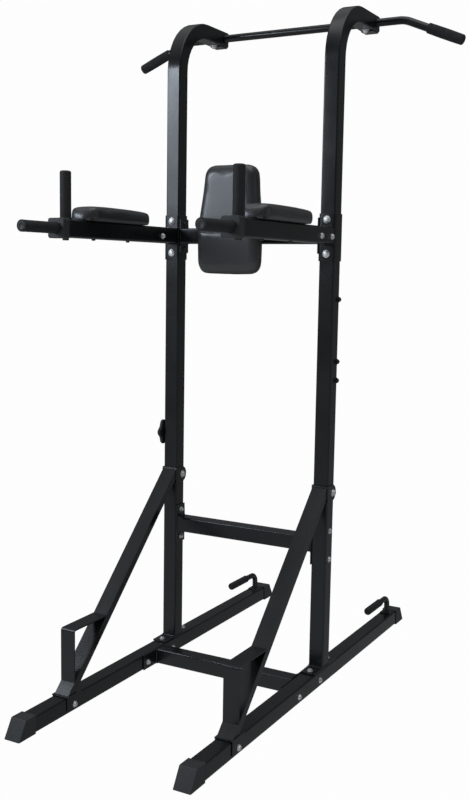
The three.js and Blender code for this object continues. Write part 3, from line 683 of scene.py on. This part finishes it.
def weld(name, loops):
    """One piece with a rippled bead along each loop."""
    bm = bmesh.new()
    for loop in loops:
        add_bead(bm, resample(loop, WELD_STEP), WELD_RADIUS, ripple=0.22)
    piece(name, bm, COAT, smooth=math.radians(70))


def tube_weld(place, direction, width=TUBE, height=TUBE):
    """The loop round a square tube where it meets a plate."""
    return placed(rounded_loop(width, height, TUBE_CORNER), facing(Vector(place), direction))


def crossbar_welds():
    crossmember = centre_of("base_crossmember")
    plate_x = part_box("base_crossmember")[1].x - PLATE
    bar_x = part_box("mid_crossbar")[1].x - PLATE
    back_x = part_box("back_crossbar")[1].x - PLATE
    for side, sign in SIDES:
        weld(f"weld_crossmember_{side}", [tube_weld((sign * plate_x, crossmember.y, crossmember.z), X_AXIS)])
        weld(f"weld_crossbars_{side}", [
            tube_weld((sign * bar_x, UPRIGHT_Y, centre_of("mid_crossbar").z), X_AXIS),
            tube_weld((sign * back_x, UPRIGHT_Y, ARM_Z), X_AXIS),
        ])


def frame_welds():
    plate_front = UPRIGHT_FRONT - PLATE
    brace_height = BRACE_DEPTH * math.sqrt(2)
    for side, sign in SIDES:
        x = sign * UPRIGHT_X
        weld(f"weld_foot_{side}", [tube_weld((x, UPRIGHT_Y, FOOT_PLATE_TOP), Z_AXIS)])
        brace_end = (x, plate_front, plate_front + BRACE_OFFSET)
        weld(f"weld_brace_{side}", [tube_weld(brace_end, Y_AXIS, TUBE, brace_height)])
        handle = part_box(f"push_up_handle_{side}")
        stem_foot = Matrix.Translation((x, handle[1].y - HANDLE_STEM_INSET, handle[0].z + PLATE))
        weld(f"weld_handle_{side}", [placed(turned([(HANDLE_STEM, 0)])[0], stem_foot)])
    low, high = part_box("back_pad_bracket")
    leaning = Matrix.Rotation(-BACK_TILT, 3, "X") @ Y_AXIS
    weld("weld_bracket", [
        tube_weld((0, low.y + BRACKET_SEAT, ARM_Z), leaning, BRACKET_TUBE, BRACKET_TUBE),
        tube_weld((0, high.y - PLATE, ARM_Z), Y_AXIS, BRACKET_TUBE, BRACKET_TUBE),
    ])


# ---------------------------------------------------------------- grips, bars and plugs

def rounded_end(radius, length, bend):
    """(radius, height) pairs of a grip's closed end, round at its rim with radius `bend`."""
    return [(radius - bend + bend * math.cos(a), length - bend + bend * math.sin(a)) for a in quarter_turn(6)]


def ribbed(radius, start, end, pitch, depth):
    """(radius, height) pairs of shallow round ribs between two heights."""
    result = []
    count = round((end - start) / pitch)
    step = (end - start) / count
    for i in range(count):
        for share, dip in ((0.0, 1.0), (0.18, 0.25), (0.34, 0.0), (0.66, 0.0), (0.82, 0.25)):
            result.append((radius - depth * dip, start + (i + share) * step))
    result.append((radius - depth, end))
    return result


DIP_GRIP = 16.5 * MM
DIP_BORE = 12.7 * MM
PUSH_UP_GRIP = 13.5 * MM
PUSH_UP_BORE = 10.2 * MM


def rubber_grip(name, cad, matrix, radius, bore, length, open_end=False):
    """A rubber hand grip along Z from 0 to `length`: a flange, ribs and a plain band before its end."""
    flange = 7 * MM
    lip = 1.2 * MM
    body = radius - 0.3 * MM
    profile = [(bore, 0.3 * MM), (radius - lip, 0.3 * MM), (radius, lip)]
    profile += [(radius, flange - lip), (body, flange)]
    profile += ribbed(body, flange + 2 * MM, length - 14 * MM, 4 * MM, 0.25 * MM)
    profile += [(body, length - 12 * MM)]
    if open_end:
        profile += [(radius, length - 10 * MM), (radius, length - lip)]
        profile += [(radius - lip, length), (bore, length)]
    else:
        profile += rounded_end(body, length, 5.5 * MM)
        profile += [(3 * MM, length - 0.2 * MM), (2.2 * MM, length - 1.6 * MM)]
    bm = bmesh.new()
    add_rings(bm, turned(profile, FINE_STEPS), matrix, caps=not open_end)
    grip = piece(name, bm, RUBBER)
    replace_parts(grip, cad)


def hand_grips():
    """The rubber grips of the dip handles, the vertical handles and the push-up handles."""
    for side, sign in SIDES:
        x = sign * UPRIGHT_X
        for kind, radius, bore in (("dip", DIP_GRIP, DIP_BORE), ("push_up", PUSH_UP_GRIP, PUSH_UP_BORE)):
            cad = f"{kind}_grip_{side}"
            low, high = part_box(cad)
            matrix = facing(Vector((x, high.y, centre_of(cad).z)), -Y_AXIS)
            name = f"{kind}_grip_detail_{side}"
            rubber_grip(name, cad, matrix, radius, bore, high.y - low.y, open_end=kind == "dip")
        cad = f"vertical_grip_{side}"
        low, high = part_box(cad)
        matrix = Matrix.Translation((x, centre_of(cad).y, low.z))
        rubber_grip(f"vertical_grip_detail_{side}", cad, matrix, DIP_GRIP, DIP_BORE, high.z - low.z)


def dip_bars():
    """The horizontal handle's steel tube, and the plastic plug whose flange covers its cut end."""
    for side, sign in SIDES:
        low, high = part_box(f"dip_bar_{side}")
        matrix = facing(Vector((sign * UPRIGHT_X, high.y, ARM_Z)), -Y_AXIS)
        length = high.y - low.y
        bm = bmesh.new()
        add_rings(bm, turned([
            (12.4 * MM, 0),
            (12.4 * MM, length - 2.8 * MM),
            (11.9 * MM, length - 2.2 * MM),
            (11 * MM, length - 2.2 * MM),
        ], FINE_STEPS), matrix)
        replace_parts(piece(f"dip_bar_detail_{side}", bm, ZINC), f"dip_bar_{side}")
        bm = bmesh.new()
        add_rings(bm, turned([
            (11.4 * MM, length - 2 * MM),
            (12.3 * MM, length - 1.6 * MM),
            (12.3 * MM, length - 0.9 * MM),
            (11.2 * MM, length - 0.1 * MM),
            (8 * MM, length),
            (7.2 * MM, length - 0.8 * MM),
            (1.5 * MM, length - 1 * MM),
        ], FINE_STEPS), matrix)
        piece(f"dip_bar_plug_{side}", bm, CAP)


def foam_grips():
    """Foam sleeves on the pull-up bar's sloped ends, slightly barrelled, each with a round closed end."""
    for side, sign in SIDES:
        low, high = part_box(f"pull_up_grip_{side}")
        middle = (low + high) / 2
        outward = Vector((sign * math.cos(BAR_SLOPE), 0, -math.sin(BAR_SLOPE)))
        length = 124 * MM
        radius = 17 * MM
        matrix = facing(middle - outward * length / 2, outward)
        body = []
        for i in range(15):
            share = i / 14
            swell = 0.7 * MM * math.sin(math.pi * share)
            body.append((radius - 0.7 * MM + swell, 2 * MM + share * (length - 10 * MM)))
        profile = [(12.8 * MM, 0.4 * MM), (radius - 2.6 * MM, 0.4 * MM), (radius - 1.1 * MM, 1.2 * MM)]
        profile += body
        profile += rounded_end(radius - 0.7 * MM, length, 6 * MM)
        profile += [(2.4 * MM, length), (1.8 * MM, length - 1.4 * MM)]
        bm = bmesh.new()
        add_rings(bm, turned(profile, FINE_STEPS), matrix)
        grip = piece(f"pull_up_grip_detail_{side}", bm, FOAM)
        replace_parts(grip, f"pull_up_grip_{side}")


def square_plug(name, matrix):
    """A plug in a square tube's end: a rim with an eased edge and a shallow dished middle."""
    layers = [(0.0, TUBE - 0.4 * MM), (1.8 * MM, TUBE - 0.4 * MM), (3.2 * MM, TUBE - 2.6 * MM),
              (3.4 * MM, TUBE - 12 * MM), (2.2 * MM, TUBE - 16 * MM)]
    rings = []
    for height, width in layers:
        corner = min(TUBE_CORNER, width / 4)
        rings.append([point + Z_AXIS * height for point in rounded_loop(width, width, corner)])
    bm = bmesh.new()
    add_rings(bm, rings, matrix)
    piece(name, bm, CAP, smooth=math.radians(40))


def gooseneck_plugs():
    for side, sign in SIDES:
        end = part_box(f"upper_upright_{side}")[1]
        place = Vector((sign * UPRIGHT_X, end.y, end.z - TUBE / 2))
        square_plug(f"gooseneck_plug_{side}", facing(place, Y_AXIS))


# ---------------------------------------------------------------- hand knob

KNOB_LOBES = 6
KNOB_RADIUS = 42 * MM
KNOB_LOBE_DEPTH = 4 * MM
KNOB_THICK = 13 * MM
KNOB_HUB = 8 * MM


def lobed(share):
    """The knob's outline, drawn in by (1 - share) of its radius."""
    def radius_at(angle):
        return share * KNOB_RADIUS + share * KNOB_LOBE_DEPTH * math.cos(KNOB_LOBES * angle)
    return radius_at


def hand_knob():
    """A lobed knob with rolled edges and a dished face round a raised hub, and its zinc insert and stud."""
    low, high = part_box("hand_knob")
    matrix = facing(Vector((low.x, UPRIGHT_Y, centre_of("hand_knob").z)), X_AXIS)
    steps = 16 * KNOB_LOBES
    face = KNOB_HUB
    back = face + KNOB_THICK
    hub = [(6.4 * MM, 1.4 * MM), (7.2 * MM, 0.4 * MM), (11 * MM, 0.2 * MM), (12.4 * MM, 0.9 * MM),
           (13 * MM, 2.4 * MM), (13.6 * MM, face - 1.4 * MM), (15.5 * MM, face + 0.6 * MM)]
    disc = [(0.5, face + 1.2 * MM), (0.68, face + 1 * MM), (0.8, face), (0.9, face + 0.3 * MM),
            (0.965, face + 1.8 * MM), (1.0, face + 4.4 * MM), (1.0, back - 4 * MM), (0.965, back - 1.4 * MM),
            (0.88, back)]
    rings = turned(hub, steps) + [ring_of(lobed(share), height, steps) for share, height in disc]
    bm = bmesh.new()
    add_rings(bm, rings, matrix)
    knob = piece("hand_knob_body", bm, KNOB, body="knob")
    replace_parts(knob, "hand_knob")
    bm = bmesh.new()
    add_rings(bm, turned(thread_profile(M8, back - 2 * MM, high.x - low.x - back + 2 * MM), 16), matrix)
    piece("hand_knob_stud", bm, ZINC, body="knob")
    bm = bmesh.new()
    insert = [(5.9 * MM, 1.8 * MM), (5.9 * MM, 0.9 * MM), (5.2 * MM, 0.5 * MM), (1 * MM, 0.5 * MM)]
    add_rings(bm, turned(insert), matrix)
    piece("hand_knob_insert", bm, ZINC, body="knob")


# ---------------------------------------------------------------- cushions

VOXEL = 5 * MM
CLOTH_FRAMES = 20
SMOOTH_STEPS = 6


def evaluated_mesh(obj):
    graph = bpy.context.evaluated_depsgraph_get()
    return bpy.data.meshes.new_from_object(obj.evaluated_get(graph))


def puff(obj, pinned, cap, growth):
    """Inflates the piece as cloth. `pinned` points stay put, and no point moves further than `cap`."""
    rest = [vertex.co.copy() for vertex in obj.data.vertices]
    group = obj.vertex_groups.new(name="pinned")
    group.add([i for i, point in enumerate(rest) if pinned(point)], 1.0, "REPLACE")
    cloth = modifier(obj, "CLOTH")
    cloth.settings.use_pressure = True
    cloth.settings.uniform_pressure_force = 4
    cloth.settings.vertex_group_mass = "pinned"
    cloth.settings.shrink_min = -growth
    cloth.settings.quality = 4
    cloth.settings.effector_weights.gravity = 0
    cloth.collision_settings.use_collision = False
    for step in range(1, CLOTH_FRAMES + 1):
        bpy.context.scene.frame_set(step)
    swollen = evaluated_mesh(obj)
    for vertex, start, end in zip(obj.data.vertices, rest, swollen.vertices):
        move = end.co - start
        if move.length > 0:
            vertex.co = start + move.normalized() * cap * math.tanh(move.length / cap)
    obj.modifiers.remove(cloth)
    bpy.context.scene.frame_set(1)
    bpy.data.meshes.remove(swollen)


def cushion(name, rings, matrix, cads, pinned, cap, growth, shape=None):
    """A closed form that is remeshed evenly, shaped, inflated and smoothed, then set in place."""
    bm = bmesh.new()
    add_rings(bm, rings)
    obj = piece(name, bm, VINYL)
    modifier(obj, "REMESH", mode="VOXEL", voxel_size=VOXEL)
    even = evaluated_mesh(obj)
    obj.modifiers.clear()
    obj.data = even
    obj.data.materials.clear()
    obj.data.materials.append(VINYL)
    if shape is not None:
        shape(obj)
    puff(obj, pinned, cap, growth)
    for polygon in obj.data.polygons:
        polygon.use_smooth = True
    modifier(obj, "SMOOTH", factor=0.5, iterations=SMOOTH_STEPS)
    modifier(obj, "SUBSURF", levels=1, render_levels=1)
    smooth = evaluated_mesh(obj)
    obj.modifiers.clear()
    obj.data = smooth
    obj.data.transform(matrix)
    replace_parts(obj, *cads)
    return obj


def wrinkle(obj, strength_at, scale, matrix):
    """Fine puckers: points move along their normals by stretched noise, as far as strength_at allows."""
    back = matrix.inverted()
    for vertex in obj.data.vertices:
        place = back @ vertex.co
        strength = strength_at(place)
        if strength > 0:
            swing = noise.noise(Vector((place.x * scale[0], place.y * scale[1], place.z * scale[2])))
            vertex.co += vertex.normal * strength * swing


ARM_PAD_HIGH = 41 * MM
ARM_PAD_FRONT_DROP = 2 * MM
ARM_PAD_REAR_DROP = 3.5 * MM
ARM_PAD_PEAK = -0.25
ARM_PAD_EDGE = 13 * MM
ARM_PAD_FRONT_CORNER = 38 * MM
ARM_PAD_REAR_CORNER = 20 * MM
ARM_PAD_FRONT_ROUND = 24 * MM
ARM_PAD_TUCK = 3 * MM
ARM_PAD_LEAN = math.tan(math.radians(10))
WELT_RADIUS = 1.9 * MM
WELT_INSET = 7 * MM


def eased(distance, radius):
    """How far a face with a rounded edge falls back at a distance from that edge."""
    return radius - math.sqrt(max(0.0, radius ** 2 - max(0.0, radius - distance) ** 2))


def pad_section(half, high):
    """The right half of a cushion's cross section as (x, z), from the tucked-in foot to the crown."""
    shoulder = [(half - ARM_PAD_EDGE * (1 - math.cos(a)), high - ARM_PAD_EDGE * (1 - math.sin(a)))
                for a in quarter_turn(6)]
    foot = [(half - ARM_PAD_TUCK, 0), (half - 0.4 * ARM_PAD_TUCK, 3 * MM), (half, 9 * MM)]
    crown = [(share * (half - ARM_PAD_EDGE), high + 0.6 * MM * (1 - share)) for share in (0.75, 0.5, 0.25)]
    return foot + shoulder + crown


def arm_pad_rise(share):
    """The crown's height along the pad, from -1 at the front to 1 at the rear: a low dome."""
    drop = ARM_PAD_FRONT_DROP if share < ARM_PAD_PEAK else ARM_PAD_REAR_DROP
    span = abs(math.copysign(1, share - ARM_PAD_PEAK) - ARM_PAD_PEAK)
    return ARM_PAD_HIGH - drop * (abs(share - ARM_PAD_PEAK) / span) ** 2


def arm_pad_rings(width, length):
    """Cross sections from front to rear, drawn in at both ends so that every edge of the cushion is round."""
    rings = []
    stations = 64
    for i in range(stations + 1):
        share = -math.cos(math.pi * i / stations)
        inside = (1 - abs(share)) * length / 2
        half = width / 2 - eased(inside, ARM_PAD_FRONT_CORNER if share < 0 else ARM_PAD_REAR_CORNER)
        fall = eased(inside, ARM_PAD_FRONT_ROUND if share < 0 else ARM_PAD_EDGE)
        section = pad_section(half, arm_pad_rise(share) - fall)
        right = [Vector((x, share * length / 2, z)) for x, z in section]
        left = [Vector((-point.x, point.y, point.z)) for point in reversed(right)]
        rings.append(right + left)
    return rings


def lean_front(obj):
    """Leans the cushion's front face back, easing out over its front corners' length."""
    front = min(vertex.co.y for vertex in obj.data.vertices)
    for vertex in obj.data.vertices:
        share = max(0.0, 1 - (vertex.co.y - front) / ARM_PAD_FRONT_CORNER)
        vertex.co.y += ARM_PAD_LEAN * max(0.0, vertex.co.z) * share


def arm_pads():
    for side in ("left", "right"):
        low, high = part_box(f"arm_pad_{side}")
        width = high.x - low.x - 1 * MM
        length = high.y - low.y - 1 * MM
        matrix = Matrix.Translation(((low.x + high.x) / 2, (low.y + high.y) / 2, low.z))
        pad = cushion(f"arm_pad_cushion_{side}", arm_pad_rings(width, length), matrix, [f"arm_pad_{side}"],
                      pinned=lambda point: point.z < 6 * MM, cap=2.5 * MM, growth=0.002, shape=lean_front)
        wrinkle(pad, lambda place: 0.3 * MM * max(0.0, 1 - place.z / (16 * MM)), (70, 70, 14), matrix)
        welt = rounded_loop(width - 2 * WELT_INSET, length - 2 * WELT_INSET, ARM_PAD_REAR_CORNER)
        raised = matrix @ Matrix.Translation(Z_AXIS * WELT_RADIUS)
        bm = bmesh.new()
        add_bead(bm, resample(placed(welt, raised), 4 * MM), WELT_RADIUS, steps=8)
        piece(f"arm_pad_welt_{side}", bm, VINYL)


BACK_PAD_WIDE = 108 * MM
BACK_PAD_NARROW = 90 * MM
BACK_PAD_LENGTH = 333 * MM
BACK_PAD_THICK = 52 * MM
BACK_PAD_EDGE = 20 * MM
CHANNEL_Z = -27 * MM
CHANNEL_DEPTH = 8 * MM
FOOT_FALL = 16 * MM
CORNER_STEPS = 8
SIDE_STEPS = 14


def quadratic(start, middle, end):
    shares = [i / CORNER_STEPS for i in range(CORNER_STEPS + 1)]
    return [start * (1 - t) ** 2 + middle * 2 * t * (1 - t) + end * t ** 2 for t in shares]


def cubic(start, first, second, end):
    shares = [i / SIDE_STEPS for i in range(SIDE_STEPS + 1)]
    return [start * (1 - t) ** 3 + first * 3 * t * (1 - t) ** 2 + second * 3 * t * t * (1 - t) + end * t ** 3
            for t in shares]


def back_pad_outline(inset):
    """The pad's front view in X and Z: wide below its middle, narrower at the top, with round corners."""
    half = BACK_PAD_LENGTH / 2 - inset
    wide = BACK_PAD_WIDE - inset
    narrow = BACK_PAD_NARROW - inset
    corner = max(10 * MM, 38 * MM - 0.4 * inset)
    foot = Vector((wide, 0, -half + corner))
    side = quadratic(Vector((wide - corner, 0, -half)), Vector((wide, 0, -half)), foot)
    side += cubic(foot, Vector((wide, 0, 0.15 * half)),
                  Vector((narrow + 6 * MM, 0, 0.2 * half)), Vector((narrow, 0, half - corner)))[1:]
    side += quadratic(Vector((narrow, 0, half - corner)), Vector((narrow - 2 * MM, 0, half)),
                      Vector((narrow - corner, 0, half)))[1:]
    mirrored = [Vector((-point.x, 0, point.z)) for point in reversed(side)]
    return resample(side + mirrored, 6 * MM)


def back_pad_rings():
    """Outlines from the front face to the rear: the front edge is well rounded, the rear edge only eased."""
    front = -BACK_PAD_THICK / 2 + 2 * MM
    rear = BACK_PAD_THICK / 2
    layers = [(BACK_PAD_EDGE * (1 - math.sin(a)), front + BACK_PAD_EDGE * (1 - math.cos(a)))
              for a in quarter_turn(7)]
    layers += [(0, rear - 8 * MM), (1 * MM, rear - 3 * MM), (4 * MM, rear)]
    count = len(back_pad_outline(0))
    rings = []
    for inset, y in layers:
        outline = back_pad_outline(inset)
        ring = [outline[round(i * len(outline) / count) % len(outline)] for i in range(count)]
        rings.append([Vector((point.x, y, point.z)) for point in ring])
    return rings


def back_pad_matrix():
    return Matrix.Translation(centre_of("back_pad")) @ Matrix.Rotation(-BACK_TILT, 4, "X")


def near_channel(point):
    return abs(point.z - CHANNEL_Z) < 4 * MM and point.y < 0


def press_channel(obj):
    """Pulls the front in along its sewn channel. Below it the front falls away towards the pad's foot."""
    for vertex in obj.data.vertices:
        if vertex.co.y < 0:
            reach = (vertex.co.z - CHANNEL_Z) / (9 * MM)
            below = max(0.0, CHANNEL_Z - vertex.co.z) / (CHANNEL_Z + BACK_PAD_LENGTH / 2)
            vertex.co.y += CHANNEL_DEPTH * math.exp(-reach * reach) + FOOT_FALL * below ** 1.4


def back_pad():
    matrix = back_pad_matrix()
    rear = BACK_PAD_THICK / 2
    pad = cushion("back_pad_cushion", back_pad_rings(), matrix, ["back_pad"],
                  pinned=lambda point: point.y > rear - 4 * MM or near_channel(point),
                  cap=1.2 * MM, growth=0.001, shape=press_channel)

    def pucker(place):
        return 0.2 * MM * max(0.0, 1 - abs(place.z - CHANNEL_Z) / (26 * MM)) if place.y < 0 else 0.0

    wrinkle(pad, pucker, (75, 30, 16), matrix)
    back_pad_stitches(pad, matrix)


def back_pad_stitches(pad, matrix):
    """A row of short stitches in the channel, lying on the cushion's surface."""
    tree = BVHTree.FromObject(pad, bpy.context.evaluated_depsgraph_get())
    forward = matrix.to_3x3() @ Y_AXIS
    bm = bmesh.new()
    stitch = 5.2 * MM
    gap = 2 * MM
    count = int(2 * (BACK_PAD_WIDE - 14 * MM) / (stitch + gap))
    for i in range(count):
        middle = (i - (count - 1) / 2) * (stitch + gap)
        line = []
        for share, sink in ((-0.5, 0.7), (-0.3, 0.0), (0.0, -0.3), (0.3, 0.0), (0.5, 0.7)):
            start = matrix @ Vector((middle + share * stitch, -BACK_PAD_THICK, CHANNEL_Z))
            hit = tree.ray_cast(start, forward)[0]
            if hit is not None:
                line.append(hit + forward * sink * MM)
        if len(line) == 5:
            add_bead(bm, line, 0.55 * MM, closed=False)
    piece("back_pad_stitches", bm, THREAD)


def back_board_staples():
    """Staples that hold the vinyl's hem on the back board's rim."""
    matrix = back_pad_matrix()
    hem = resample(back_pad_outline(20 * MM), 26 * MM)
    rear = BACK_PAD_THICK / 2 + 0.35 * MM
    into_board = -Y_AXIS * MM
    bm = bmesh.new()
    for i, point in enumerate(hem):
        along = (hem[(i + 1) % len(hem)] - hem[i - 1]).normalized()
        middle = Vector((point.x, rear, point.z))
        first = middle - along * 5 * MM
        last = middle + along * 5 * MM
        line = [first + into_board, first, last, last + into_board]
        add_bead(bm, placed(line, matrix), 0.5 * MM, closed=False)
    piece("back_board_staples", bm, ZINC)


# ---------------------------------------------------------------- stage, lights and camera

CAMERA_PLACE = (1.5758, -2.8976, 1.3151)
CAMERA_YAW = math.radians(28.78)
CAMERA_PITCH = math.radians(7.12)
CAMERA_ROLL = math.radians(0.94)
CAMERA_LENS = 46.55
BACKDROP_WHITE = 0.985
WINDOW_BLUE = (0.8, 0.89, 1)
FRONT_GLOW = 0.5
REAR_GLOW = 0.22
HORIZON_GLOW = 0.12
HIGH_GLOW = 0.4


def camera():
    data = bpy.data.cameras.new("camera")
    data.lens = CAMERA_LENS
    data.clip_end = 100
    obj = bpy.data.objects.new("camera", data)
    bpy.context.scene.collection.objects.link(obj)
    turn = Matrix.Rotation(CAMERA_YAW, 4, "Z") @ Matrix.Rotation(math.pi / 2 - CAMERA_PITCH, 4, "X")
    obj.matrix_world = Matrix.Translation(CAMERA_PLACE) @ turn @ Matrix.Rotation(CAMERA_ROLL, 4, "Z")
    bpy.context.scene.camera = obj


def floor():
    """A wide white studio floor, evenly lit like the backdrop, so that the two meet without an edge."""
    new_tree("studio_floor")
    glow = {"Emission Color": (1, 1, 1, 1), "Emission Strength": BACKDROP_WHITE}
    white = finish_material("studio_floor", (0, 0, 0, 1), 1.0, **{"Specular IOR Level": 0.0}, **glow)
    bm = bmesh.new()
    bmesh.ops.create_grid(bm, x_segments=4, y_segments=4, size=30)
    mesh = bpy.data.meshes.new("studio_floor")
    bm.to_mesh(mesh)
    bm.free()
    mesh.materials.append(white)
    obj = bpy.data.objects.new("studio_floor", mesh)
    obj.location.z = cad_low.z - 0.2 * MM
    obj.visible_glossy = False
    obj.visible_diffuse = False
    bpy.context.scene.collection.objects.link(obj)


def backdrop():
    """A white backdrop to look at. Its own light is dim, darkest at the horizon and brighter low in front."""
    world = bpy.data.worlds.new("studio")
    bpy.context.scene.world = world
    world.use_nodes = True
    tree = world.node_tree
    tree.nodes.clear()
    direction = node(tree, "ShaderNodeTexCoord").outputs["Generated"]
    parts = node(tree, "ShaderNodeSeparateXYZ", {0: direction}).outputs
    height = parts["Z"]
    floor_glow = spread(tree, parts["Y"], -0.5, 0.5, FRONT_GLOW, REAR_GLOW)
    low_glow = spread(tree, height, -0.3, 0.0, floor_glow, HORIZON_GLOW)
    strength = math_node(tree, "ADD", low_glow, spread(tree, height, 0.5, 0.85, 0.0, HIGH_GLOW))
    dim = node(tree, "ShaderNodeBackground", {"Color": (0.94, 0.97, 1, 1), "Strength": strength}).outputs[0]
    white = node(tree, "ShaderNodeBackground", {"Color": (1, 1, 1, 1), "Strength": BACKDROP_WHITE}).outputs[0]
    seen = node(tree, "ShaderNodeLightPath").outputs["Is Camera Ray"]
    shown = node(tree, "ShaderNodeMixShader", {0: seen, 1: dim, 2: white}).outputs[0]
    node(tree, "ShaderNodeOutputWorld", {"Surface": shown})


def softbox(name, place, target, size, radiance, colour=(1, 1, 1)):
    """A rectangular light whose face has the given radiance."""
    data = bpy.data.lights.new(name, "AREA")
    data.shape = "RECTANGLE"
    data.size = size[0]
    data.size_y = size[1]
    data.energy = radiance * math.pi * size[0] * size[1]
    data.color = colour
    obj = bpy.data.objects.new(name, data)
    bpy.context.scene.collection.objects.link(obj)
    direction = Vector(target) - Vector(place)
    obj.matrix_world = Matrix.Translation(place) @ direction.to_track_quat("-Z", "Y").to_matrix().to_4x4()


def studio_lights():
    """A tall window at the front left, brightest at its top, a card above it, and soft fill."""
    softbox("window_box", (-2.0, -2.95, 2.2), (0, 0, 1.6), (1.0, 1.25), 4.6, WINDOW_BLUE)
    softbox("window_top", (-2.2, -3.0, 2.72), (0, 0, 1.8), (0.6, 0.3), 18, WINDOW_BLUE)
    softbox("left_card", (-2.17, -1.95, 2.34), (-0.28, -0.5, 0.1), (0.6, 0.45), 11, WINDOW_BLUE)
    softbox("top_box", (0.4, -0.6, 4.2), (0, 0, 0), (2.6, 2.6), 0.9)
    softbox("right_fill", (3.6, 0.9, 1.9), (0, 0, 1.2), (1.2, 2.4), 0.3)


def view_settings():
    settings = bpy.context.scene.view_settings
    settings.view_transform = "Standard"
    settings.look = "None"


# ---------------------------------------------------------------- assembly

camera()
view_settings()
backdrop()
floor()
studio_lights()

dress_frame()
framed_bolts()
joint_bolts()
bracket_bolts()
crossbar_welds()
frame_welds()
hand_grips()
dip_bars()
foam_grips()
gooseneck_plugs()
hand_knob()
arm_pads()
back_pad()
back_board_staples()
